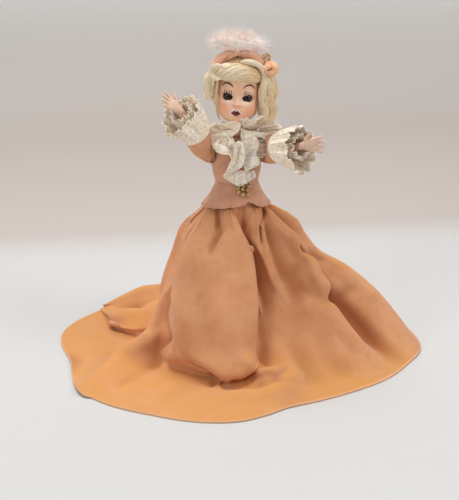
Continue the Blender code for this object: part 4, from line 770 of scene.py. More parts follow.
threads = []
for first, second in zip(pearl_points, pearl_points[1:] + pearl_points[:1]):
    path = [first.lerp(second, k / 6) + Vector((0, 0.0006, 0)) for k in range(7)]
    threads.append(tube(cord_rings(path, 0.00012, 5), brown_thread))
threads = joined("pearl_threads", threads)
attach(threads, "body_and_skirt")


# The arms: hard plastic, strung at the shoulder, with a soft elbow, a narrow wrist and a hand with
# four spread fingers and a thumb. The plastic is worn and greyed at the hands.
arm_rows = np.array(((-4, 1.7), (-2.5, 3.4), (1.1, 4.3), (10.8, 4.0), (18, 3.35), (25.2, 3.0), (31, 2.35),
                     (33.8, 2.1), (36, 1.98))) / 1000
hand_rows = ((0.16, 1.0, 0.72), (0.30, 0.96, 0.94), (0.44, 0.84, 1.02), (0.54, 0.66, 0.96))
fingers = ((0.75, 0.46, 15, 0.92, 0.25), (0.25, 0.49, 5, 1.0, 0.15), (-0.27, 0.49, -6, 0.95, 0.2),
           (-0.75, 0.44, -17, 0.80, 0.35), (0.66, 0.14, 48, 0.88, 0.1))
finger_rows = ((-0.1, 1.0), (0.15, 1.06), (0.4, 0.94), (0.6, 0.97), (0.85, 0.84), (0.97, 0.55), (1.02, 0.2))
arm_turn = Matrix.Rotation(radians(31), 4, "Y")
hand_turn = arm_turn @ Matrix.Translation((0, 0, 0.036)) @ Matrix.Rotation(radians(15), 4, "Y") \
    @ Matrix.Rotation(radians(20), 4, "Z")


def hard_plastic(name, light, deep, grime_and_shade_tone, reach):
    """Old hard plastic: a skin tone that fades towards a greyer one, faint mould marks and a soft gloss; where the mesh
    is marked, a second tone for real wear on the hands and painted shade on the faces.
    """
    made, tree, shader = new_material(name)
    cloud = noise(tree, object_place(tree), 170.0, 4.0)
    tone = mixed(tree, ranged(tree, cloud, 0.38, 0.62), light, deep)
    # The marked tone is real wear on the arms and painted shade on the heads.
    dirt_and_shade = calculated(tree, "MULTIPLY", attribute(tree, "wear_and_shade"), ranged(tree, cloud, 0.35, 0.6, 0.35, 1.0))
    tone = mixed(tree, ranged(tree, dirt_and_shade, 0, 1, 0, reach), tone, grime_and_shade_tone)
    tree.links.new(tone, shader.inputs["Base Color"])
    tree.links.new(ranged(tree, cloud, 0.3, 0.7, 0.30, 0.44), shader.inputs["Roughness"])
    shader.inputs["Subsurface Weight"].default_value = 0.12
    shader.inputs["Subsurface Radius"].default_value = (0.0012, 0.0005, 0.0003)
    shader.inputs["Subsurface Scale"].default_value = 1.0
    bumped(tree, shader, cloud, 0.12, 0.0002)
    return made, tree, shader, tone


arm_plastic = hard_plastic("arm_plastic", (0.80, 0.51, 0.37), (0.72, 0.43, 0.30), (0.80, 0.62, 0.50), 0.85)[0]


def swept(sections, name="limb"):
    """A closed skin over rings given as a frame, half widths across X and Y."""
    return tube([[turn @ Vector((wide * cos(tau * k / 28), deep * sin(tau * k / 28), 0)) for k in range(28)]
                 for turn, wide, deep in sections], arm_plastic, name)


def points_of(made):
    """A mesh's points as rows."""
    return np.array([vertex.co for vertex in made.data.vertices])


def reshaped(made, points):
    """Gives a mesh's points new places and smooths its shading."""
    made.data.vertices.foreach_set("co", np.asarray(points, dtype=np.float32).ravel())
    made.data.shade_smooth()


def arm_solid(name, side, frame):
    """One arm with its hand, fused and evened out, placed by its shoulder's frame."""
    limbs = []
    sections = []
    for distance in np.linspace(-0.004, 0.036, 36):
        wide = np.interp([distance - 0.001, distance, distance + 0.001], arm_rows[:, 0], arm_rows[:, 1]).mean()
        bow = 0.0006 * sin(pi * max(0, distance) / 0.036)
        sections.append((arm_turn @ Matrix.Translation((0, -bow, distance)), wide, wide))
    limbs.append(swept(sections))
    palm = [(Matrix.Translation((0, 0, -0.0012)), 0.0020, 0.0019)]
    palm += [(Matrix.Translation((0, 0, share * 0.015)), thick * 0.0016, wide * 0.0038)
             for share, thick, wide in hand_rows]
    limbs.append(swept([(hand_turn @ turn, thick, wide) for turn, thick, wide in palm]))
    for across, reach, spread, length, curl in fingers:
        root = hand_turn @ Matrix.Translation((0, across * 0.0037, reach * 0.015)) \
            @ Matrix.Rotation(-radians(spread), 4, "X")
        sections = []
        for part, wide in finger_rows:
            bend = Matrix.Translation((-curl * 0.0016 * part ** 2, 0, part * length * 0.0076))
            sections.append((root @ bend, wide * 0.00092, wide * 0.00098))
        limbs.append(swept(sections))
    arm = joined(name, limbs)
    fuse = arm.modifiers.new("fuse", "REMESH")
    fuse.mode, fuse.voxel_size = "VOXEL", 0.00030
    soft = arm.modifiers.new("soft", "SMOOTH")
    soft.factor, soft.iterations = 0.5, 4
    settled(arm)
    shape = points_of(arm)
    shape[:, 0] = np.maximum(shape[:, 0], -0.0021)
    along = shape @ np.array(arm_turn)[:3, 2]
    wear_and_shade = np.clip((along - 0.030) / 0.016, 0, 1)
    if side < 0:
        shape[:, 0] *= -1
        arm.data.flip_normals()
    reshaped(arm, placed(shape, frame))
    return marked(arm, {"wear_and_shade": wear_and_shade})


shoulders = {}
for word, root, drift, leans in (("upper", upper_root, -0.000985, (27, 73)), ("lower", lower_root, 0, (0, 0))):
    for side, hand, lean in ((-1, "right", leans[0]), (1, "left", leans[1])):
        name = word + "_" + hand + "_arm"
        frame_here = root @ Matrix.Translation((drift + side * 0.0148, 0, 0.0365)) \
            @ Matrix.Rotation(radians(lean), 4, "X")
        shoulders[name] = (frame_here, side)
        arm = arm_solid(name + "_plastic", side, frame_here)
        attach(arm, name)
        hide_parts(name)


# The sleeves: short wide tubes of peach cotton, gathered into the armhole and again on the forearm,
# where a thread draws them in. Each turns with its arm.
peach_cotton = napped_cloth(
    "peach_sleeve_cotton", (0.70, 0.36, 0.21), (0.60, 0.27, 0.12), (0.24, 0.08, 0.03), 2100.0, 110.0, 0.00008, 0.25)[0]
sleeve_rows = ((-4.6, 4.2), (-3.6, 5.6), (-1.5, 6.9), (1.5, 7.5), (5.2, 8.0), (14, 8.25), (19, 7.9), (22.6, 6.9),
               (24.8, 5.2), (26.0, 4.3), (26.8, 4.6))


def sleeve_grid(frame, side, scale, seed):
    """Rows of points of one sleeve, from its forearm edge up to the armhole."""
    rows = []
    for part in np.linspace(1, 0, 46):
        distance = 26.8 - 31.4 * (1 - part)
        radius = np.interp([distance - 0.7, distance, distance + 0.7], *np.array(sleeve_rows).T).mean() * scale
        low, high = exp(-((26 - distance) / 4.0) ** 2), exp(-((distance + 1) / 5.0) ** 2)
        row = []
        for step in range(120):
            angle = tau * step / 120
            folds = 0.36 * low * sin(15 * angle + seed) + 0.30 * high * sin(13 * angle + 2 * seed)
            folds += 0.42 * sin(2 * angle + 0.26 * distance + seed) + 0.26 * sin(5 * angle - 0.33 * distance)
            crease = -0.5 * exp(-((((angle + seed + 0.05 * distance) % tau) - pi) / 0.10) ** 2) * (1 - low)
            wide = (radius + folds + crease) / 1000
            point = arm_turn @ Vector((wide * cos(angle), wide * sin(angle), distance / 1000))
            least = 0.0009 - 0.0030 * max(0.0, 1 - (hypot(point.y, point.z) / 0.0068) ** 8)
            point.x = max(point.x, least)
            row.append((point.x * side, point.y, point.z))
        rows.append(row if side > 0 else row[::-1])
    return placed(rows, frame)


for name, (frame_here, side) in shoulders.items():
    finish = peach_cotton if name.startswith("upper") else faded_cotton
    scale = 1.0 if name.startswith("upper") else 0.78
    seed = {"upper_right_arm": 0.4, "upper_left_arm": 2.3, "lower_right_arm": 1.1, "lower_left_arm": 3.9}[name]
    piece = name.replace("_arm", "_sleeve")
    sleeve = sheet_object(piece + "_cloth", sleeve_grid(frame_here, side, scale, seed), finish, 0.0005)
    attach(sleeve, name)
    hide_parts(piece)


# The lace: cream cotton net with denser worked sprigs and a corded, scalloped edge. Gathered frills of it
# make the two cuffs, the ruff round the neck and the fall down the chest.
net, given, result = node_group(
    "lace_net", "ShaderNodeTree", {"Vector": ["Vector"], "Edge": ["Float"], "Cells": ["Float", 1500]},
    {"Alpha": "Float", "Sprig": "Float", "Height": "Float"})
place = given.outputs["Vector"]
cells = add_node(net, "ShaderNodeTexVoronoi", {"Vector": place, "Scale": given.outputs["Cells"]},
                 feature="DISTANCE_TO_EDGE")
worked = add_node(net, "ShaderNodeTexVoronoi", {"Vector": place, "Scale": 2600.0})
sprig = ranged(net, noise(net, place, 330.0, 1.5), 0.50, 0.54)
filled = calculated(net, "MULTIPLY", sprig, ranged(net, worked.outputs["Distance"], 0.20, 0.30))
border = ranged(net, given.outputs["Edge"], 0.0007, 0.0005)
solid = calculated(net, "MAXIMUM", filled, ranged(net, cells.outputs["Distance"], 0.26, 0.16))
solid = calculated(net, "MAXIMUM", solid, border)
net.links.new(ranged(net, solid, 0, 1, 0.5, 1.0), result.inputs["Alpha"])
net.links.new(sprig, result.inputs["Sprig"])
net.links.new(calculated(net, "ADD", solid, border), result.inputs["Height"])


def lace_finish(name, ground, worked_tone, aged):
    """Cotton lace: an open net, sprigs of a lighter thread and yellowed patches."""
    made, tree, shader = new_material(name)
    weave = add_node(tree, "ShaderNodeGroup", node_tree=net)
    tree.links.new(add_node(tree, "ShaderNodeUVMap", uv_map="cloth").outputs["UV"], weave.inputs["Vector"])
    tree.links.new(attribute(tree, "hem"), weave.inputs["Edge"])
    weave.inputs["Cells"].default_value = 1500.0
    cloud = noise(tree, object_place(tree), 120.0, 3.0)
    tone = mixed(tree, weave.outputs["Sprig"], ground, worked_tone)
    tone = mixed(tree, ranged(tree, cloud, 0.45, 0.7, 0, 0.8), tone, aged)
    tree.links.new(tone, shader.inputs["Base Color"])
    tree.links.new(weave.outputs["Alpha"], shader.inputs["Alpha"])
    shader.inputs["Roughness"].default_value = 0.9
    shader.inputs["Specular IOR Level"].default_value = 0.2
    bumped(tree, shader, weave.outputs["Height"], 0.4, 0.0001)
    return made


lace = lace_finish("cream_lace", (0.93, 0.83, 0.70), (1.0, 0.95, 0.86), (0.90, 0.74, 0.56))
lace_cord, tree, shader, twist = two_tone("lace_cord", (0.86, 0.77, 0.65), (0.97, 0.91, 0.82), 2400.0)
shader.inputs["Roughness"].default_value = 0.85
bumped(tree, shader, twist, 0.5, 0.0001)


def smooth_line(points, count):
    """A smooth line through points in mm, at even steps along it, in metres."""
    points = np.array(points, dtype=float) / 1000
    weights = curve_weights(np.linspace(0, len(points) - 1, 12 * len(points)), len(points))
    fine = weights @ points
    run = np.concatenate(([0], np.cumsum(np.linalg.norm(np.diff(fine, axis=0), axis=1))))
    return np.stack([np.interp(np.linspace(0, run[-1], count), run, fine[:, axis]) for axis in range(3)], 1)


def lace_frill(name, grid, body, closed, node=None):
    """A frill of lace, its rows from the gathered edge to the scalloped one, with a cord on that edge."""
    frill = sheet_object(name, grid, lace, 0.00018, closed, {"hem": from_free_edge(grid)})
    edge = [Vector(point) for point in grid[-1]]
    if closed:
        edge = edge + edge[:1]
    cord = tube(cord_rings(edge, 0.00015, 5), lace_cord, name + "_cord", True)
    for part in (frill, cord):
        if name.startswith("collar_right"):
            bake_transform(part)
        else:
            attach(part, body)
    if node:
        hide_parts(node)


def scalloped(inner, outer, rows, ripple, pleats, scallop=0.0021):
    """Rows from a gathered edge to a free one, waved more and more and ending in scallops."""
    across = np.linspace(0, 1, len(inner))
    length = np.linalg.norm(np.diff(outer, axis=0), axis=1).sum()
    tongues = np.abs(np.sin(pi * round(length / scallop) * across))
    grid = []
    for part in np.linspace(0, 1, rows):
        reach = part + 0.05 * part ** 6 * tongues
        grid.append(inner + (outer - inner) * reach[:, None])
    grid = np.array(grid)
    waves = np.sin(tau * pleats * across + 0.6 * np.sin(tau * 2.3 * across))
    swell = np.linspace(0, 1, rows)[:, None] ** 0.7 * waves[None, :]
    return grid + open_normals(grid) * (ripple / 1000 * swell)[..., None]


lace_places = (
    ("jabot_left_ruffle", 0.25, 5,
     ((-5.5, -10.5, 139.9), (-3.7, -11, 137.7), (-3.2, -11.5, 134.7), (-3.6, -12.6, 132.6), (-3.9, -13.6, 130.4),
      (-4.2, -14.2, 128.5), (-4.5, -14.2, 126.6)),
     ((-16.5, -9, 137.7), (-15.4, -10.5, 140.2), (-12.8, -12, 141.4), (-10.3, -13.5, 141.2), (-7.7, -15,
      140.1), (-6.7, -15.5, 137.7), (-7.7, -15, 135.2), (-9.7, -13.5, 134.1), (-12.1, -13.5, 135.8), (-14.3,
      -15, 136.6), (-14.8, -15.5, 134.5), (-13.3, -15.2, 131.7), (-10.3, -15, 130.2), (-7.8, -15.4, 130.8),
      (-6.5, -16, 129.7), (-6.4, -16.4, 128.3))),
    ("jabot_centre_fold", 0.2, 4,
     ((-5.6, -12, 118.6), (-3.4, -12.4, 121.8), (-2, -12.6, 125.5), (-1.2, -12.8, 129.6), (-0.9, -13, 132.8),
      (-1.1, -12.8, 129.5), (-1.8, -12.6, 125.4), (-3.1, -12.4, 122), (-5.2, -12, 119)),
     ((-9.9, -13, 116.6), (-8.2, -14.2, 119.7), (-6.9, -15, 123.7), (-5.6, -15.6, 126.8), (-4.3, -16.2,
      129.9), (-4, -16.8, 133.8), (-3.6, -17.2, 136.6), (-1.8, -17.3, 137.7), (-0, -17.2, 136.8), (1.1, -17,
      134.3), (1.7, -16.8, 130.8), (1.7, -16.2, 127.5), (1.3, -15.6, 124.5), (-0.1, -15, 121.9), (-3.6, -14.2,
      119.7), (-6.6, -13.6, 118.7), (-9.6, -13, 116.9))),
    ("jabot_right_ruffle", 0.3, 7,
     ((0, -10.5, 140.6), (0.6, -11.2, 136.4), (1.1, -12, 130.2), (1.7, -12.2, 123.9), (2.6, -11.8, 117.7)),
     ((0.3, -13, 141.2), (3.1, -14.5, 141.5), (6.1, -15.5, 140.7), (8.5, -16, 138.4), (9.8, -15.5, 135.2),
      (9.6, -14.2, 132.2), (8.7, -13, 129.7), (9.1, -14.5, 127.7), (10.6, -14.5, 125.5), (10.4, -13.5, 122.6),
      (7.8, -13.2, 121.1), (4.7, -13.4, 119.6), (2.6, -12.6, 117.6))),
    ("jabot_right_edge", 0.4, 6,
     ((6.1, -9.5, 140.2), (7, -10, 135.8), (7.9, -10.5, 131.2), (8.6, -10.5, 126.4)),
     ((12.2, -7, 139.4), (15.3, -7, 137.7), (16.3, -8, 135.3), (15.6, -9, 132.8), (15.8, -8.5, 130.1), (14.9,
      -9.5, 127.2), (12.2, -10.5, 125.6))),
    ("jabot_hem", 0.35, 5,
     ((-7.5, -11.2, 118.5), (-3.8, -11.5, 119.3), (0.6, -11.6, 119.3), (4.4, -11.3, 118.7), (8.3, -10.6,
      118.7)),
     ((-9.9, -12.4, 116.3), (-8, -12.3, 114.5), (-5.8, -12.2, 113), (-3.2, -12.1, 111.5), (-0.7, -12.1,
      110.1), (1.8, -12.2, 111), (4.9, -12.2, 112.7), (7.3, -11.8, 113.8), (9.3, -11.2, 115))),
    ("collar_left_lobe", 0.2, 4,
     ((-8.5, -7, 142.2), (-6.2, -9, 142.9), (-3.8, -10.5, 143.2), (-0.5, -10.5, 143.7)),
     ((-11.8, -9.5, 145.8), (-9.3, -12.5, 147), (-5.6, -16.6, 148.7), (-1.5, -17, 148.2), (-1.2, -17, 145.3),
      (-2.7, -16, 142.1), (-5.6, -14, 140), (-8.6, -12.5, 140.4), (-10, -11, 142.2))),
    ("collar_left_fall", 0.5, 7,
     ((-9.4, -6, 141.6), (-7.4, -8.5, 140.8), (-6.4, -10.5, 138.6), (-5.8, -11, 136.1)),
     ((-12.3, -6, 145.1), (-15.4, -7, 143.4), (-16.7, -8, 139.4), (-16.1, -9.5, 135.7), (-14.4, -10.5, 131.9),
      (-11.8, -11.5, 130.4), (-9.3, -13, 133.3), (-6.9, -14, 135.5), (-5.4, -14, 138.1), (-6.7, -13, 140.2))),
    ("collar_right_ruff", 0.7, 11,
     ((0.2, -10.5, 145.7), (1.6, -9.5, 144.1), (3.5, -8, 142.7), (5.3, -5, 141.2), (6.3, -1, 139.9)),
     ((-0.8, -18.6, 149.4), (0.1, -18.8, 150.5), (3.1, -18.2, 150.4), (6.8, -16.2, 148.4), (9.7, -13.6, 149.9), (13.9,
      -10.5, 150), (17.5, -9, 148.8), (21.2, -7, 145.5), (24.5, -5, 141.6), (26.1, -4, 137.6))),
    ("collar_right_fall", 0.5, 9,
     ((0.1, -11, 144.5), (1.5, -10.5, 143), (3.3, -9.5, 142), (5.2, -7, 141.3)),
     ((-0, -14, 139.9), (3.5, -14.5, 138.3), (8.2, -14, 138.3), (11.7, -12.5, 139.1), (14.9, -11.5, 136.8),
      (18.5, -10, 136), (22.5, -8, 136.3), (25, -6, 137.5))),
)
for name, ripple, pleats, gathered, free in lace_places:
    inner = smooth_line(gathered, 150)
    outer = smooth_line(free, 150)
    if name.startswith("jabot_left"):
        inner, outer = inner - (0, 0.0012, 0), outer - (0, 0.0016, 0)
    lace_frill(name, scalloped(inner, outer, 16, ripple, pleats), "body_and_skirt", False,
               {"jabot_left_ruffle": "lace_jabot", "collar_left_fall": "lace_collar"}.get(name))


def ring_frill(first, last, start_radius, end_radius, frame, waves, depth, seed, corner):
    """A closed frill round an axis: rows from its gathered edge to its free one."""
    grid = []
    for part in np.linspace(0, 1, 22):
        row = []
        for step in range(300):
            angle = tau * step / 300
            swing = sin(waves * angle + 0.7 * sin(2 * angle + seed)) * part ** 0.8
            small = 0.35 * sin(3.3 * waves * angle + seed) * part ** 0.6
            radius = start_radius + (end_radius - start_radius) * part ** 0.75 + depth * (swing + small)
            reach = first + (last - first) * part * (1 + 0.05 * sin(3 * angle + seed))
            reach += 0.0007 * part ** 8 * abs(sin(24 * angle)) + 0.4 * depth * part * sin(2 * waves * angle + seed)
            if corner is not None:
                reach += 0.0045 * part * exp(-(((angle - corner + pi) % tau - pi) / 0.28) ** 2)
            row.append((radius * cos(angle), radius * sin(angle), reach))
        grid.append(row)
    return placed(np.array(grid)[:, ::-1], frame)


for name, corner, seed in (("upper_right_arm", 1.2, 0.3), ("upper_left_arm", None, 1.7)):
    frame_here, side = shoulders[name]
    mirror = Matrix.Scale(side, 4, (1, 0, 0))
    for suffix, first, last, start, end, drop in (
            ("", 0.0165, 0.0345, 0.0090, 0.0106, 0.0055), ("_inner", 0.0245, 0.0345, 0.0060, 0.0060, 0.002)):
        grid = ring_frill(first, last, start, end, frame_here @ mirror @ arm_turn, 11, 0.0010, seed, corner)
        if side < 0:
            grid = grid[:, ::-1]
        below = np.clip((grid[..., 2].mean(1, keepdims=True) - grid[..., 2]) / 0.009, 0, 1)
        grid[..., 2] -= below * np.linspace(0, 1, len(grid))[:, None] ** 1.5 * drop
        lace_frill(name.replace("_arm", "_cuff") + suffix + "_lace", grid, name, True,
                   None if suffix else name.replace("_arm", "_lace_cuff"))

neck_turns = np.linspace(radians(215), radians(-35), 150)
back, rim = ([Vector((-0.0015 + wide * cos(turn), deep * sin(turn), high)) for turn in neck_turns]
             for wide, deep, high in ((0.0066, 0.0066, 0.1368), (0.0150, 0.0140, 0.1415)))
lace_frill("collar_back_ruff", scalloped(np.array(back), np.array(rim), 14, 1.1, 9), "body_and_skirt", False)


# The heads: hollow hard plastic, full in the cheeks, with a small nose and chin. The brows, lashes and lips
# are painted on, the cheeks are blushed, and two openings are cut for the sleep eyes.
head_rows = np.array((
    (-5.0, 1.6, 1.6, 1.6), (-3.6, 3.2, 3.2, 3.2), (-1.9, 4.3, 4.3, 4.3), (0, 4.6, 4.6, 4.6), (4.2, 4.55, 4.5, 4.5),
    (6.3, 4.7, 5.4, 4.65), (7.2, 6.9, 11.2, 6.3), (8.5, 8.9, 13.3, 8.0), (10.4, 10.4, 14.2, 9.8),
    (12.92, 11.4, 14.6, 11.4), (15.96, 12.1, 14.7, 12.7), (19.0, 12.25, 14.6, 13.33), (22.04, 12.5, 14.35, 13.6), (25.84, 12.5, 14.3, 13.6),
    (30.02, 11.9, 13.6, 13.2), (33.44, 10.25, 11.7, 11.56), (36.29, 7.0, 8.0, 8.3), (37.7, 3.25, 3.8, 4.08),
    (38.0, 0.4, 0.5, 0.5))) / 1000
upper_head_frame = Matrix.Translation((-0.0015, 0, 0.1395)) @ Matrix.Rotation(radians(5), 4, "Y") \
    @ Matrix.Rotation(radians(-10), 4, "Z")
lower_head_frame = lower_root @ Matrix.Translation((0, 0, 0.048))
nose_to_chin = ((0, 19.2, 1.7, 1.5, 1.7), (0, 21.4, 1.0, 1.0, 1.7), (0, 18.2, 0.8, 1.9, 0.9), (-1.25, 18.3, 0.6, 0.7, 0.7),
                (1.25, 18.3, 0.6, 0.7, 0.7), (0, 14.9, 0.75, 2.6, 1.1), (0, 12.3, 0.7, 2.0, 1.0), (0, 10.6, -0.35, 3.0, 0.9),
                (0, 7.9, 0.8, 3.4, 2.2), (-7.2, 13.6, 0.7, 4.2, 4.2), (7.2, 13.6, 0.7, 4.2, 4.2),
                (-4.9, 21.7, -0.75, 3.6, 2.9), (4.9, 21.7, -0.75, 3.6, 2.9), (-5.2, 26.6, 0.3, 4.5, 1.8),
                (5.2, 26.6, 0.3, 4.5, 1.8), (0, 29, 0.3, 7, 5), (-0.6, 17.0, -0.35, 0.5, 0.5), (0.6, 17.0, -0.35, 0.5, 0.5),
                (0, 13.6, -0.55, 2.2, 0.28))


def head_grid(rows, columns, inset):
    """Rows of points from the crown down to the neck, the face full and the features raised."""
    grid = []
    for part in np.linspace(1, 0, rows):
        height = -0.005 + 0.043 * (part + 0.12 * sin(tau * part) / tau)
        near = [height + step for step in (-0.0009, -0.00045, 0, 0.00045, 0.0009)]
        wide, front, rear = (max(0.0002, np.interp(near, head_rows[:, 0], head_rows[:, k]).mean() - inset)
                             for k in (1, 2, 3))
        row = []
        for step in range(columns):
            angle = tau * step / columns
            angle -= 0.175 * sin(2 * angle)
            x, y = wide * cos(angle), (rear if sin(angle) > 0 else front) * sin(angle)
            if sin(angle) < 0 and not inset:
                for across, up, rise, spread, tall in nose_to_chin:
                    near_it = ((x * 1000 - across) / spread) ** 2 + ((height * 1000 - up) / tall) ** 2
                    y -= rise / 1000 * exp(-near_it) * min(1, -2 * sin(angle))
            row.append((x, y, height))
        grid.append(row)
    return np.array(grid)


def face_plastic(name):
    """The head's plastic: the arms' tone, blushed where the mesh says so, with painted shade at the nostrils, under the
    chin and at the sides.
    """
    made, tree, shader, tone = hard_plastic(name, (0.90, 0.58, 0.41), (0.82, 0.49, 0.33), (0.52, 0.27, 0.12), 0.6)
    tone = mixed(tree, attribute(tree, "blush_and_nose_shade"), tone, (0.88, 0.33, 0.155))
    tone = mixed(tree, attribute(tree, "pale"), tone, (0.96, 0.74, 0.62))
    tree.links.new(tone, shader.inputs["Base Color"])
    return made


face_paint = face_plastic("face_plastic")
paint = {}
for word, first, second, gloss in (
        ("brow_paint", (0.075, 0.022, 0.012), (0.13, 0.045, 0.025), 0.5),
        ("lip_paint", (0.10, 0.008, 0.012), (0.17, 0.018, 0.018), 0.28),
        ("lip_rim_paint", (0.98, 0.78, 0.70), (0.94, 0.68, 0.59), 0.4)):
    paint[word], tree, shader, brushed = two_tone(word, first, second, 1500.0)
    shader.inputs["Roughness"].default_value = gloss

lip_outline = ((-2.75, -0.35), (-2.2, 0.25), (-1.5, 0.95), (-0.95, 1.45), (-0.5, 1.4), (0, 0.85), (0.5, 1.4), (0.95, 1.45),
               (1.5, 0.95), (2.2, 0.25), (2.75, -0.35), (1.9, -0.85), (1.0, -1.3), (0, -1.45), (-1.0, -1.3), (-1.9, -0.85))
brow_lines = (((-9.0, 27.3), (-8.1, 28.5), (-6.8, 29.2), (-5.4, 29.3), (-4.0, 28.7), (-2.7, 27.5)),
              ((2.6, 27.3), (3.9, 28.6), (5.3, 29.2), (6.7, 29.2), (8.0, 28.5), (9.1, 27.0)))
brow_widths = (0.14, 0.36, 0.5, 0.52, 0.46, 0.2)
lash_lines = ([((-7.2 + 0.95 * k, 23.3 + 0.25 * sin(k)), (-7.8 + 1.0 * k, 25.6 + 0.3 * sin(2 * k))) for k in range(5)]
              + [((3.6 + 0.85 * k, 23.7 - 0.10 * k * k), (4.1 + 1.15 * k, 26.0 - 0.13 * k * k)) for k in range(5)]
              + [((7.4, 21.3), (9.2, 21.3)), ((7.6, 22.2), (9.4, 22.7)), ((-7.5, 22.3), (-8.6, 23.4))])


def on_face(skin, across, up, lift):
    """The point of the face behind a place seen from the front, a little in front of it."""
    hit, facing = skin.ray_cast(Vector((across / 1000, -0.04, up / 1000)), Vector((0, 1, 0)))[:2]
    return hit + facing * lift


def faced_outwards(made):
    """Turns the faces of a closed piece outwards."""
    step = bmesh.new()
    step.from_mesh(made.data)
    bmesh.ops.recalc_face_normals(step, faces=step.faces)
    step.to_mesh(made.data)
    step.free()
    return made


def painted_patch(name, skin, outline, centre, grow, lift, finish, frame, bulge=0.0):
    """A thin closed patch of paint that lies on the face inside an outline."""
    points, faces, count = [], [], len(outline) * 4
    line = curve_weights(np.arange(count + 1) / 4, len(outline) + 1) @ np.array(outline + outline[:1])
    rings = (0.15, 0.4, 0.65, 0.85, 1.0)
    for side in (lift, -0.0002):
        for ring in rings:
            for x, z in line[:count] * grow:
                rise = side + (bulge * (1 - ring ** 2) if side > 0 else 0)
                points.append(on_face(skin, centre[0] + x * ring, centre[1] + z * ring, rise))
    half = len(rings) * count
    for r in range(len(rings) - 1):
        for c in range(count):
            d = (c + 1) % count
            quad = (r * count + c, (r + 1) * count + c, (r + 1) * count + d, r * count + d)
            faces += [quad, tuple(half + index for index in quad[::-1])]
    faces += [tuple(range(count)), tuple(half + index for index in range(count))[::-1]]
    rim = (len(rings) - 1) * count
    faces += [(rim + c, half + rim + c, half + rim + (c + 1) % count, rim + (c + 1) % count) for c in range(count)]
    return faced_outwards(mesh_object(name, placed([tuple(point) for point in points], frame), faces, finish))


def painted_strokes(name, skin, lines, frame):
    """Brush strokes that taper at both ends and lie on the face."""
    strokes = []
    for line, widths in lines:
        count = 5 * (len(line) - 1) + 1
        weights = curve_weights(np.linspace(0, len(line) - 1, count), len(line))
        path = [on_face(skin, x, z, 0.00002) for x, z in weights @ np.array(line)]
        radii = (np.maximum(0.02, weights @ np.array(widths)) / 1000).tolist()
        strokes.append(tube(cord_rings(path, radii, 8), paint["brow_paint"], "stroke", True))
    made = joined(name, strokes)
    reshaped(made, placed(points_of(made), frame))
    return made


for word, frame_here in (("upper", upper_head_frame), ("lower", lower_head_frame)):
    fine = (150, 168) if word == "upper" else (110, 120)
    outer, inner = head_grid(*fine, 0), head_grid(*fine, 0.0014)
    x, y, z = outer[..., 0] * 1000, outer[..., 1], outer[..., 2] * 1000
    face_side = np.clip(-y / 0.006, 0, 1)
    blush_and_nose_shade = np.exp(-(((np.abs(x) - 7.8) / 3.6) ** 2 + ((z - 15.2) / 3.2) ** 2)) * 0.55 * face_side
    # The blush at the nostrils is painted shade under the nose; the cheek and brow blush is the doll's own paint.
    blush_and_nose_shade += np.exp(-(((np.abs(x) - 1.3) / 1.3) ** 2 + ((z - 17.3) / 0.8) ** 2)) * 0.55 * face_side
    blush_and_nose_shade += np.exp(-(((x) / 6.5) ** 2 + ((z - 27.5) / 2.6) ** 2)) * 0.18 * face_side
    pale = np.exp(-(((np.abs(x) - 5.0) / 3.4) ** 2 + ((z - 19.2) / 1.1) ** 2)) * 0.8 * face_side
    # Painted shade: darker at the nostrils, under the chin and down the neck, and towards the sides of the face,
    # through the same mark as the arms' wear.
    shadow = np.exp(-(((np.abs(x) - 1.2) / 0.9) ** 2 + ((z - 17.3) / 0.7) ** 2)) * 0.9 * face_side
    shadow += np.clip((9.5 - z) / 5, 0, 1) * 0.8 + np.clip((np.abs(x) - 10.5) / 2.5, 0, 1) * 0.4
    head = sheet_object(word + "_head_plastic", outer, face_paint, 0.0014, marks={
        "blush_and_nose_shade": blush_and_nose_shade, "pale": pale, "wear_and_shade": np.clip(shadow, 0, 1)})
    skin = BVHTree.FromPolygons([v.co.copy() for v in head.data.vertices], [list(f.vertices) for f in head.data.polygons])
    sockets = []
    for side in (-1, 1):
        rims = [[(side * 0.0049 + 0.0023 * scale * cos(tau * k / 40), -0.0096 - reach,
                  0.0217 - 0.0017 * scale * sin(tau * k / 40)) for k in range(40)]
                for reach, scale in ((0.0075, 1.15), (0.0042, 1.03), (0.0034, 0.98), (0.0012, 0.95))]
        sockets.append(tube(rims, face_paint))
        globe = [[(side * 0.0049 + 0.0035 * cos(tilt) * cos(tau * k / 32), -0.0096 + 0.0035 * cos(tilt) * sin(tau * k / 32),
                   0.0217 + 0.0035 * sin(tilt)) for k in range(32)] for tilt in np.linspace(-1.5, 1.5, 15)]
        sockets.append(tube(globe, face_paint))
    lips = painted_patch(word + "_lips", skin, lip_outline, (-0.2, 13.5), 1.0, 0.00022, paint["lip_paint"], frame_here, 0.0002)
    rim = painted_patch(word + "_lip_rim", skin, lip_outline, (-0.2, 13.7), 1.3, 0.00012, paint["lip_rim_paint"], frame_here)
    lines = [(line, brow_widths) for line in brow_lines] + [(line, (0.3, 0.13)) for line in lash_lines]
    strokes = painted_strokes(word + "_brows_and_lashes", skin, lines, frame_here)
    cut_away(head, sockets)
    reshaped(head, placed(points_of(head), frame_here))
    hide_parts(word + "_head")
    for piece in (head, lips, rim, strokes):
        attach(piece, word + "_head")


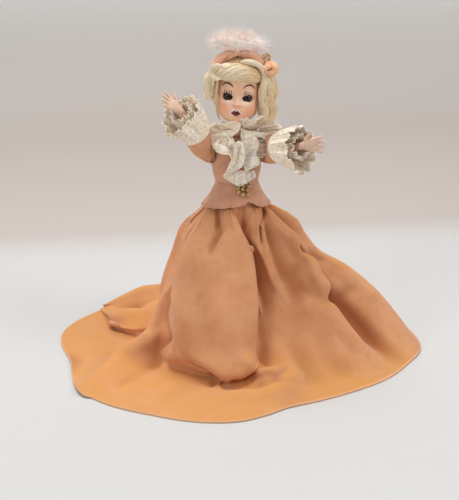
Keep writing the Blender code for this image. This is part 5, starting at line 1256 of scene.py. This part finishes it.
# The sleep eyes: glassy plastic balls, dark brown almost to the rim, with a lid of skin tone that comes
# down when the doll lies back. Each pair turns on one axle behind the face.
eye_glass, tree, shader = new_material("eye_glass")
gaze, lid = attribute(tree, "gaze"), attribute(tree, "lid")
brown = mixed(tree, noise(tree, object_place(tree), 1800.0), (0.010, 0.003, 0.003), (0.045, 0.014, 0.009))
tone = mixed(tree, ranged(tree, gaze, 0.86, 0.90), brown, (0.003, 0.002, 0.003))
tone = mixed(tree, ranged(tree, gaze, 0.34, 0.28), tone, (0.55, 0.50, 0.46))
tone = mixed(tree, ranged(tree, lid, 0.60, 0.62), tone, (0.76, 0.45, 0.31))
tree.links.new(tone, shader.inputs["Base Color"])
tree.links.new(ranged(tree, lid, 0.60, 0.62, 0.06, 0.4), shader.inputs["Roughness"])
shader.inputs["Specular IOR Level"].default_value = 0.4
for word, frame_here, closed in (("upper", upper_head_frame, 0), ("lower", lower_head_frame, 50)):
    axle = frame_here @ Matrix.Translation((0, -0.0096, 0.0217)) @ Matrix.Rotation(radians(closed), 4, "X")
    for side, hand in ((-1, "right"), (1, "left")):
        points, gaze_at, lid_at = [], [], []
        for row in range(1, 40):
            tilt = pi * row / 40 - pi / 2
            for step in range(64):
                turn = tau * step / 64
                aim_x, aim_y, aim_z = cos(tilt) * cos(turn), cos(tilt) * sin(turn), sin(tilt)
                points.append((side * 0.0049 + 0.00318 * aim_x, 0.00318 * aim_y, 0.00318 * aim_z))
                gaze_at.append(-aim_y)
                lid_at.append(aim_z * 0.9 + max(0, aim_y) * 0.6)
        name = word + "_" + hand + "_eyeball"
        eye = mesh_object(name + "_glass", placed(points, axle), tube_faces(39, 64), eye_glass)
        marked(eye, {"gaze": gaze_at, "lid": lid_at})
        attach(eye, word + "_eyes")
        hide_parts(name)


# The wigs: mohair over a cap that is glued to the head. The upper one has a pale swirl and a golden roll
# over the forehead, a puffed right side and loose curls down the left side. The lower one is plainer.
def mohair_material(name, cream, gold, deep):
    """Fine streaks along the locks, pale to golden, brown between them, and painted shade in the grooves between the
    ridges.
    """
    made, tree, shader = new_material(name)
    marks = {word: attribute(tree, word) for word in ("strand", "along", "golden", "hollow")}
    run = calculated(tree, "MULTIPLY", marks["along"], 0.10)
    place = add_node(tree, "ShaderNodeCombineXYZ", {"X": marks["strand"], "Y": run, "Z": marks["golden"]}).outputs[0]
    fine, wide = noise(tree, place, 3.4, 3.0), noise(tree, place, 0.8)
    tone = mixed(tree, marks["golden"], cream, gold)
    tone = mixed(tree, ranged(tree, wide, 0.35, 0.75, 0, 0.45), tone, gold)
    tone = mixed(tree, ranged(tree, fine, 0.52, 0.25, 0, 0.55), tone, deep)
    # Painted shade: the grooves between a lock's ridges, and the cap under the locks, darken towards deep brown.
    tone = mixed(tree, marks["hollow"], tone, deep)
    tree.links.new(tone, shader.inputs["Base Color"])
    shader.inputs["Roughness"].default_value = 0.62
    bumped(tree, shader, fine, 0.55, 0.00025)
    return made


def lock_skin(path, radii, golden, seed, flat=0.85, ridges=6, turn=1.2, rings=34, sides=30):
    """Points, faces and marks of one lock of hair: a ridged skin along a path in millimetres."""
    share = np.linspace(0, 1, rings)
    weights = curve_weights(share * (len(path) - 1), len(path))
    line, wide = weights @ np.array(path, float), weights @ np.array(radii, float)
    gold = weights @ np.array(golden if hasattr(golden, "__len__") else [golden] * len(path), float)
    wide = np.maximum(0.06, wide) * np.sqrt(np.maximum(0.004, 1 - np.abs(2 * share - 1) ** 7))
    along = np.gradient(line, axis=0)
    along /= np.linalg.norm(along, axis=1)[:, None]
    travel = np.concatenate(([0], np.cumsum(np.linalg.norm(np.diff(line, axis=0), axis=1))))
    first = np.cross(along[0], (0.3, 0.9, 0.3))
    points, strand, run, tint, hollow = [], [], [], [], []
    for k in range(rings):
        first = first - along[k] * np.dot(first, along[k])
        first /= np.linalg.norm(first)
        second = np.cross(along[k], first)
        for step in range(sides):
            angle = tau * step / sides
            wave = 0.075 * cos(ridges * angle + turn * tau * share[k] + seed) \
                + 0.05 * cos((ridges * 2 + 1) * angle - 1.7 * turn * tau * share[k] + 2.1 * seed) \
                + 0.04 * sin(9 * share[k] + seed + 2 * angle)
            points.append(line[k] + wide[k] * (1 + wave) * (first * cos(angle) + second * sin(angle) * flat))
            strand.append(3.1 * abs((step / sides) * 2 - 1) * sides / 12 + 7.3 * seed)
            run.append(travel[k])
            tint.append(gold[k])
            # How far the skin sinks between its ridges, kept for painted shade.
            hollow.append(max(0.0, -wave - 0.05) * 4.5)
    marks = {"strand": strand, "along": run, "golden": tint, "hollow": hollow}
    return points, tube_faces(rings, sides), marks


def lock_piece(name, locks, frame, finish):
    """One piece made of many locks, each a tuple of what lock_skin takes."""
    points, faces, marks = [], [], {word: [] for word in ("strand", "along", "golden", "hollow")}
    for index, (path, radii, golden, *rest) in enumerate(locks):
        ring, sides, values = lock_skin(path, radii, golden, index + 1.0, *rest)
        faces += [tuple(corner + len(points) for corner in face) for face in sides]
        points += ring
        for word in marks:
            marks[word] += values[word]
    return marked(mesh_object(name, placed(np.array(points) / 1000, frame), faces, finish), marks)


def strand_tree(name, finish):
    """A node tree that turns chains of edges into thin round hairs that taper to nothing."""
    made, given, result = node_group(
        name, "GeometryNodeTree", {"Geometry": ["Geometry"], "Radius": ["Float", 0.00006]}, {"Geometry": "Geometry"})
    lines = add_node(made, "GeometryNodeMeshToCurve", {"Mesh": given.outputs["Geometry"]})
    place = add_node(made, "GeometryNodeSplineParameter").outputs["Factor"]
    wide = calculated(made, "MULTIPLY", ranged(made, place, 0.0, 1.0, 1.0, 0.25), given.outputs["Radius"])
    ring = add_node(made, "GeometryNodeCurvePrimitiveCircle", {"Resolution": 3, "Radius": 1.0})
    sized = add_node(made, "GeometryNodeSetCurveRadius", {"Curve": lines.outputs[0], "Radius": wide})
    skin = add_node(made, "GeometryNodeCurveToMesh", {
        "Curve": sized.outputs[0], "Profile Curve": ring.outputs[0], "Fill Caps": True})
    if "Scale" in skin.inputs:
        made.links.new(wide, skin.inputs["Scale"])
    real = add_node(made, "GeometryNodeRealizeInstances", {"Geometry": skin.outputs[0]})
    painted = add_node(made, "GeometryNodeSetMaterial", {"Geometry": real.outputs[0], "Material": finish})
    made.links.new(painted.outputs[0], result.inputs["Geometry"])
    return made


def strands(name, lines, radius, tree, finish, frame):
    """Thin hairs or barbs along lines in millimetres."""
    count = len(lines[0])
    edges = [(k * count + step, k * count + step + 1) for k in range(len(lines)) for step in range(count - 1)]
    points = placed(np.array(lines).reshape(-1, 3) / 1000, frame)
    return grown(name, points, radius, tree, finish, edges)


def cap_grid(high, crown, back, seed):
    """Rows of the cap's own hair from the crown down: ridges that fall over the sides and the back."""
    rows = []
    for share in np.linspace(0, 1, 46):
        z = high - (high - 7.5) * (0.5 - 0.5 * cos(pi * share))
        over = max(0.0008, 1 - ((z - crown[1]) / crown[3]) ** 2) ** 0.5
        behind = max(0.0, 1 - ((z - back[1]) / back[3]) ** 2) ** 0.5
        wide, front, rear = (1000 * np.interp(z / 1000, head_rows[:, 0], head_rows[:, k]) - 0.35 for k in (1, 2, 3))
        row = []
        open_by = radians(60) * min(1, max(0, (36.5 - z) / 3.5))
        for part in np.linspace(0, 1, 132):
            angle = -pi / 2 + open_by + part * (tau - 2 * open_by)
            x, y = over * crown[2] * cos(angle), crown[0] + over * crown[2] * sin(angle)
            if sin(angle) > 0 and behind:
                other = behind * back[2][0] * cos(angle), back[0] + behind * back[2][1] * sin(angle)
                x, y = max((x, y), other, key=lambda place: hypot(*place))
            ridge = 0.45 * cos(16 * angle + 2.4 * sin(z / 5 + seed)) + 0.25 * cos(37 * angle - 3 * sin(z / 4)) - 0.4
            x, y = x + ridge * over * cos(angle), y + ridge * over * sin(angle)
            skull = 1 - ((x / wide) ** 2 + (y / (rear if y > 0 else front)) ** 2)
            if skull > 0 and z < 37:
                grow = 1 / max(0.05, 1 - skull) ** 0.5
                x, y = x * grow, y * grow
            row.append((x / 1000, y / 1000, z / 1000))
        rows.append(row)
    return np.array(rows)


blond_mohair = mohair_material("blond_mohair", (0.93, 0.83, 0.64), (0.74, 0.53, 0.28), (0.30, 0.155, 0.05))
flyaway = strand_tree("flyaway_hair", blond_mohair)
roll = []
for index in range(6):
    phase, path = tau * index / 6, []
    for k in range(10):
        share = k / 9
        swing, reach_out = phase + 3.4 * share + 1.2 * sin(pi * share), 2.9 * sin(pi * (0.10 + 0.78 * share)) ** 0.5
        across = -13.4 + 25.4 * share
        path.append((across, -11.2 + 0.026 * (across + 1) ** 2 - 0.8 * reach_out * cos(swing),
                     35.2 - 0.012 * (across + 2) ** 2 + 0.95 * reach_out * sin(swing)))
    roll.append((path, (1.7, 2.5, 2.8, 2.7, 2.6, 2.5, 2.4, 2.3, 2.0, 1.3), (0, 0, 0, 0.1, 0.25, 0.45, 0.65, 0.8, 0.9, 1),
                 0.8, 6, 1.6, 60, 34))
roll.append((((-8, -15.6, 37.6), (-11.5, -14.9, 38.8), (-15.0, -12.8, 37.2), (-15.6, -12.2, 33.8), (-13, -14.4, 31.6),
              (-9.6, -15.6, 31.9)), (0.6, 1.3, 1.5, 1.5, 1.3, 0.5), 0.0, 0.7, 5, 2.0, 40))
arch = [((-0.5, -9.6, 41.0), (4, -10.8, 41.9), (8.8, -10.4, 41.0), (12.4, -9.2, 38.4), (14.4, -8.0, 34.8), (15.0, -7.0, 31.0)),
        (0.9, 1.5, 1.6, 1.6, 1.5, 0.9), 0.1, 0.9, 4, 1.0]
left_side = []
for index in range(8):
    out, fore = 0.9 * (index % 4), 2.6 * (index // 4)
    left_side.append((((-11.0 - 0.4 * out, -7 + fore, 38), (-14.0 - 0.5 * out, -7.5 + fore, 33.5 - 0.5 * out),
                       (-15.2 - 0.7 * out, -7.6 + 1.1 * fore, 28.5), (-14.9 - 0.5 * out, -7.4 + fore, 23.5 - out),
                       (-14.0 - 0.5 * out, -7.6 + fore, 21.5 - out), (-13.6 - 0.6 * out, -7.6 + fore, 19.6 - 0.6 * out)),
                      (2.0, 2.7, 2.7, 2.5, 2.0, 0.7), 0.15 + 0.15 * (index % 3), 0.8, 6, 1.4))
left_side.append((((-11.6, -9.6, 31), (-12.0, -10.4, 25), (-11.7, -10.2, 18), (-10.6, -9.6, 12), (-8.8, -8.6, 7.4)),
                  (0.9, 0.75, 0.7, 0.6, 0.3), 0.9, 0.8, 3, 1.0))
right_side = []
for index in range(9):
    out, fore = (index % 3) * 1.9, 2.4 * (index // 3)
    side = 1 if index % 2 else -1
    right_side.append((((11.8 + 0.6 * out, -6.4 + fore, 36.5), (14.2 + out, -8.2 + fore, 31.5),
                        (15.2 + out + 1.2 * side, -8.8 + fore, 26), (14.4 + 1.15 * out, -8.0 + fore, 20.5),
                        (15.6 + out - 1.4 * side, -7.4 + fore, 15), (15.0 + out, -7.0 + fore, 10.2),
                        (14.0 + 0.8 * out + side, -6.6 + fore, 5.6 + 0.4 * out)),
                       (2.0, 2.5, 2.6, 2.4, 2.4, 2.1, 0.7), 0.3 + 0.2 * (index % 3), 0.85, 6, 2.2))
behind = []
for index, turn in enumerate((25, 48, 70, 90, 110, 132, 155)):
    lean, sway = radians(turn), 1.6 * sin(2.0 * index)
    behind.append(([(cos(lean) * r + sway * sin(0.9 * k), 2.5 + sin(lean) * s, z) for k, (r, s, z) in enumerate(
        ((6, 7, 41.5), (11.8, 12.2, 36), (13.8, 14.2, 29), (13.6, 14.6, 22), (12.8, 14.6, 15.5), (11.6, 13, 8.6)))],
        (2.0, 3.0, 3.4, 3.4, 3.2, 1.2), 0.35 + 0.15 * (index % 3), 0.8, 6, 1.6))
upper_locks = roll + [arch] + left_side + right_side + behind
plain_roll = [([(across, -9.4 - 4.3 * sin(radians(turn)), 35.4 - 0.03 * across ** 2 + 4.0 * cos(radians(turn)))
                for turn in (-70, -20, 25, 65, 105, 145, 180, 215)], (1.6, 2.3, 2.5, 2.6, 2.6, 2.4, 2.0, 1.2),
               0.5 + 0.1 * (k % 3), 0.9, 5, 0.6) for k, across in enumerate((-10, -7.2, -4.4, -1.5, 1.4, 4.3, 7.1, 9.8))]
plain_sides = [(((side * 11.2, -6 + fore, 34), (side * 14, -6.4 + fore, 28.6), (side * 14.8, -6 + fore, 22),
                 (side * 14.2, -5.4 + fore, 16), (side * 13.2, -5 + fore, 11.8)), (2.2, 2.9, 3.0, 2.8, 1.0),
                0.5, 0.85, 6, 1.8) for side in (-1, 1) for fore in (0, 2.6, 5.2)]
for word, frame_here, locks, crown, back in (
        ("upper", upper_head_frame, upper_locks, (2.5, 29.5, 14.3, 13.8), (9.5, 16, (12.6, 7.0), 10.6)),
        ("lower", lower_head_frame, plain_roll + plain_sides, (2.5, 29.5, 14.3, 13.9), (9.5, 16, (12.2, 7.0), 9.8))):
    grid = cap_grid(crown[1] + crown[3] - 0.05, crown, back, 1.5)
    full = np.ones(grid.shape[:2])
    # The cap's hair gets a little painted shade all over, for the locks that lie on it.
    cap = sheet_object(word + "_wig_cap_hair", placed(grid.reshape(-1, 3), frame_here).reshape(grid.shape), blond_mohair,
                       0.0005, False, marks={"strand": full * 9 * np.abs(np.linspace(-1, 1, 132)), "golden": full * 0.75,
                                      "along": full * np.arange(46.0)[:, None], "hollow": full * 0.12})
    wig = lock_piece(word + "_wig_locks", locks, frame_here, blond_mohair)
    for piece in (cap, wig):
        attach(piece, word + "_head")
    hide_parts(word + "_wig")
    if word == "upper":
        rng = np.random.default_rng(31)
        lines = []
        for k in range(620):
            path, radii = locks[rng.integers(0, len(locks))][:2]
            start = rng.uniform(0, 0.45)
            share = np.linspace(start, min(1.0, start + rng.uniform(0.35, 0.6)), 9)
            weights = curve_weights(share * (len(path) - 1), len(path))
            line, wide = weights @ np.array(path, float), weights @ np.array(radii, float)
            away = rng.normal(size=3)
            away /= np.linalg.norm(away)
            lift = np.linspace(0.85, rng.uniform(1.0, 1.55), 9)
            wave = rng.uniform(0.1, 0.4) * np.sin(np.linspace(0, rng.uniform(2, 6), 9) + rng.uniform(0, 6))
            lines.append(line + away * (wide * lift + wave)[:, None])
        hairs = strands("upper_wig_hairs", lines, 0.00007, flyaway, blond_mohair, frame_here)
        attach(hairs, "upper_head")


# The hat: a scarf of dusty-pink felt twisted over the crown and pinched above the forehead, a rolled end
# beside it, a spray of small gilt beads and a tuft of marabou. All of it is stitched to the wig.
hat_felt = napped_cloth(
    "hat_felt", (0.84, 0.48, 0.33), (0.74, 0.38, 0.25), (0.34, 0.13, 0.07), 1700.0, 110.0, 0.00010, 0.4)[0]


def felt_roll(name, path, radii, folds, turn, squash, finish, rings=110, sides=56):
    """A twisted length of felt: folds that run round it as they go along."""
    share = np.linspace(0, 1, rings)
    weights = curve_weights(share * (len(path) - 1), len(path))
    line, wide = weights @ np.array(path, float), weights @ np.array(radii, float)
    wide = wide * np.sqrt(np.maximum(0.003, 1 - np.abs(2 * share - 1) ** 14))
    along = np.gradient(line, axis=0)
    along /= np.linalg.norm(along, axis=1)[:, None]
    made = []
    for k in range(rings):
        second = np.cross((0, 1, 0), along[k])
        second /= np.linalg.norm(second)
        first = np.cross(second, along[k])
        ring = []
        for step in range(sides):
            angle = tau * step / sides
            spin = turn * tau * share[k]
            fold = sum(depth * (1 - abs(sin((count * (angle + spin) + shift) / 2))) for count, depth, shift in folds)
            radius = wide[k] * (1 - fold)
            ring.append(line[k] + radius * (first * cos(angle) * squash[0] + second * sin(angle) * squash[1]))
        made.append(placed(np.array(ring) / 1000, upper_head_frame))
    return faced_outwards(tube(made, finish, name, True))


arc = [(16.9 * cos(radians(turn)), -1.6, 28.0 + 16.9 * sin(radians(turn))) for turn in np.linspace(158, 36, 15)]
band = felt_roll("hat_scarf", arc, (2.0, 3.1, 3.6, 3.6, 3.5, 3.4, 2.9, 2.3, 2.8, 3.4, 3.6, 3.6, 3.5, 3.2, 2.4),
                 ((3, 0.16, 0.4), (5, 0.10, 1.7)), 0.85, (1.6, 0.85), hat_felt)
roll_path = [(16.4 + reach * cos(radians(turn)), -5.6 - 0.35 * k, 38.4 + reach * 0.8 * sin(radians(turn)))
             for k, (turn, reach) in enumerate(((150, 3.6), (95, 3.0), (40, 3.0), (-15, 3.0), (-70, 2.9), (-125, 2.6),
                                                (-180, 2.0), (-235, 1.2), (-290, 0.4)))]
roll_felt = napped_cloth(
    "side_roll_felt", (0.82, 0.46, 0.26), (0.68, 0.34, 0.20), (0.28, 0.11, 0.05), 1700.0, 110.0, 0.00010, 0.4)[0]
side_roll = felt_roll("side_roll_felt", roll_path, (1.6, 2.3, 2.7, 2.8, 2.8, 2.7, 2.6, 2.4, 2.0),
                      ((2, 0.14, 0.4), (3, 0.10, 1.1)), 0.5, (1.25, 0.9), roll_felt)
spray = [(13.2 + x, -2.4 + y, 43.7 + z) for x, y, z in (
    (0, 0, 0), (1.2, -0.8, 1.2), (-1.1, -0.6, 1.5), (0.3, -0.9, 2.6), (1.9, -0.5, -0.6), (2.6, -0.9, 0.7), (-0.6, -1.0, -0.9),
    (1.2, -1.3, -0.4), (0.4, -1.4, 0.9), (1.9, -1.2, 2.1), (3.1, -1.2, -0.9), (2.4, -1.5, -1.9), (1.0, -1.5, -2.1))]
bead_radius = 0.00078
hat_beads = grown("hat_bead_spray", placed(np.array(spray) / 1000, upper_head_frame), bead_radius,
                  bead_tree("hat_beads", bead_radius, 12, 8, pearl_gilt), pearl_gilt)
marabou, tree, shader, cloud = two_tone("marabou", (0.98, 0.80, 0.73), (1.0, 0.96, 0.93), 180.0, 2.0, (0.35, 0.65))
shader.inputs["Roughness"].default_value = 0.85
barb_tree = strand_tree("marabou_barbs", marabou)
rng = np.random.default_rng(8)
barbs = []
for k in range(1500):
    turn, rise = rng.uniform(0, tau), rng.uniform(-0.35, 1)
    level = (1 - rise * rise) ** 0.5
    out = np.array((level * cos(turn), level * sin(turn), rise))
    root = np.array((-2.6, -1.2, 49.2)) + out * (12.6, 4.2, 3.6) * rng.uniform(0.6, 1)
    aim = out * (0.9, 0.6, 1.0) + rng.normal(size=3) * 0.33 + np.array((0, -0.12, 0.28))
    aim /= np.linalg.norm(aim)
    side = np.cross(aim, rng.normal(size=3))
    side /= np.linalg.norm(side)
    length, curl, phase = rng.uniform(4.2, 9.0) * (1.1 if k % 9 else 1.4), rng.uniform(0.1, 0.6), rng.uniform(0, 6)
    if root[2] + aim[2] * length > 62.5:
        length *= 0.7
    barbs.append([root + aim * length * share + side * curl * sin(3 * share + phase) * share
                  - np.array((0, 0, 0.8)) * share * share for share in np.linspace(0, 1, 6)])
tuft = strands("marabou_barbs", barbs, 0.0001, barb_tree, marabou, upper_head_frame)
core = []
for k in range(24):
    turn = -pi / 2 + pi * k / 23
    core.append([(-2.5 + 14.2 * cos(turn) * cos(tau * s / 40) * (1 + 0.07 * sin(5 * s * tau / 40 + k)),
                  -1.0 + 5.0 * cos(turn) * sin(tau * s / 40) * (1 + 0.08 * cos(4 * s * tau / 40)),
                  49.9 + 4.5 * sin(turn) + 0.9 * sin(3 * s * tau / 40 + 0.9 * k) * cos(turn)) for s in range(40)])
down = tube([placed(np.array(ring) / 1000, upper_head_frame) for ring in core], marabou, "marabou_down", True)
for piece, node in ((band, "hat_band"), (side_roll, "hat_side_roll"), (hat_beads, "hat_beads"), (tuft, "feather_tuft"),
                    (down, None)):
    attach(piece, "upper_head")
    if node:
        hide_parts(node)


# The works inside: hollow plastic torsos joined by a turned wooden plug, cloth-covered elastic between the
# arms, a wire hook that holds each head down, and a weighted rocker behind each pair of eyes.
torso_plastic = hard_plastic("torso_plastic", (0.80, 0.49, 0.335), (0.74, 0.43, 0.28), (0.50, 0.27, 0.13), 0.3)[0]
turned_wood, tree, shader = new_material("turned_wood")
grain = add_node(tree, "ShaderNodeTexWave", {
    "Vector": object_place(tree), "Scale": 260.0, "Distortion": 3.0, "Detail": 2.0}, bands_direction="X").outputs["Fac"]
tree.links.new(mixed(tree, grain, (0.52, 0.33, 0.17), (0.38, 0.22, 0.10)), shader.inputs["Base Color"])
shader.inputs["Roughness"].default_value = 0.65
woven_elastic, tree, shader = new_material("woven_elastic")
rib = add_node(tree, "ShaderNodeTexWave", {
    "Vector": object_place(tree), "Scale": 900.0}, bands_direction="X").outputs["Fac"]
tree.links.new(mixed(tree, rib, (0.74, 0.66, 0.52), (0.58, 0.49, 0.36)), shader.inputs["Base Color"])
shader.inputs["Roughness"].default_value = 0.9
bumped(tree, shader, rib, 0.5, 0.0001)
bent_wire, tree, shader, dull = two_tone("bent_wire", (0.42, 0.40, 0.37), (0.30, 0.25, 0.20), 900.0, 3.0)
tree.links.new(ranged(tree, dull, 0.3, 0.7, 0.3, 0.6), shader.inputs["Roughness"])
shader.inputs["Metallic"].default_value = 1.0
cast_weight, tree, shader, dull = two_tone("cast_weight", (0.22, 0.22, 0.23), (0.13, 0.13, 0.14), 700.0, 4.0)
tree.links.new(ranged(tree, dull, 0.3, 0.7, 0.45, 0.7), shader.inputs["Roughness"])
shader.inputs["Metallic"].default_value = 1.0
for node, finish in (("torso", torso_plastic), ("arm_elastic", woven_elastic), ("neck_hook", bent_wire),
                     ("eye_rocker", cast_weight), ("waist_plug", turned_wood)):
    names = ["waist_plug"] if node == "waist_plug" else ["upper_" + node, "lower_" + node]
    for name in names:
        mesh = frame["nodes"][name].data
        mesh.materials.clear()
        mesh.materials.append(finish)
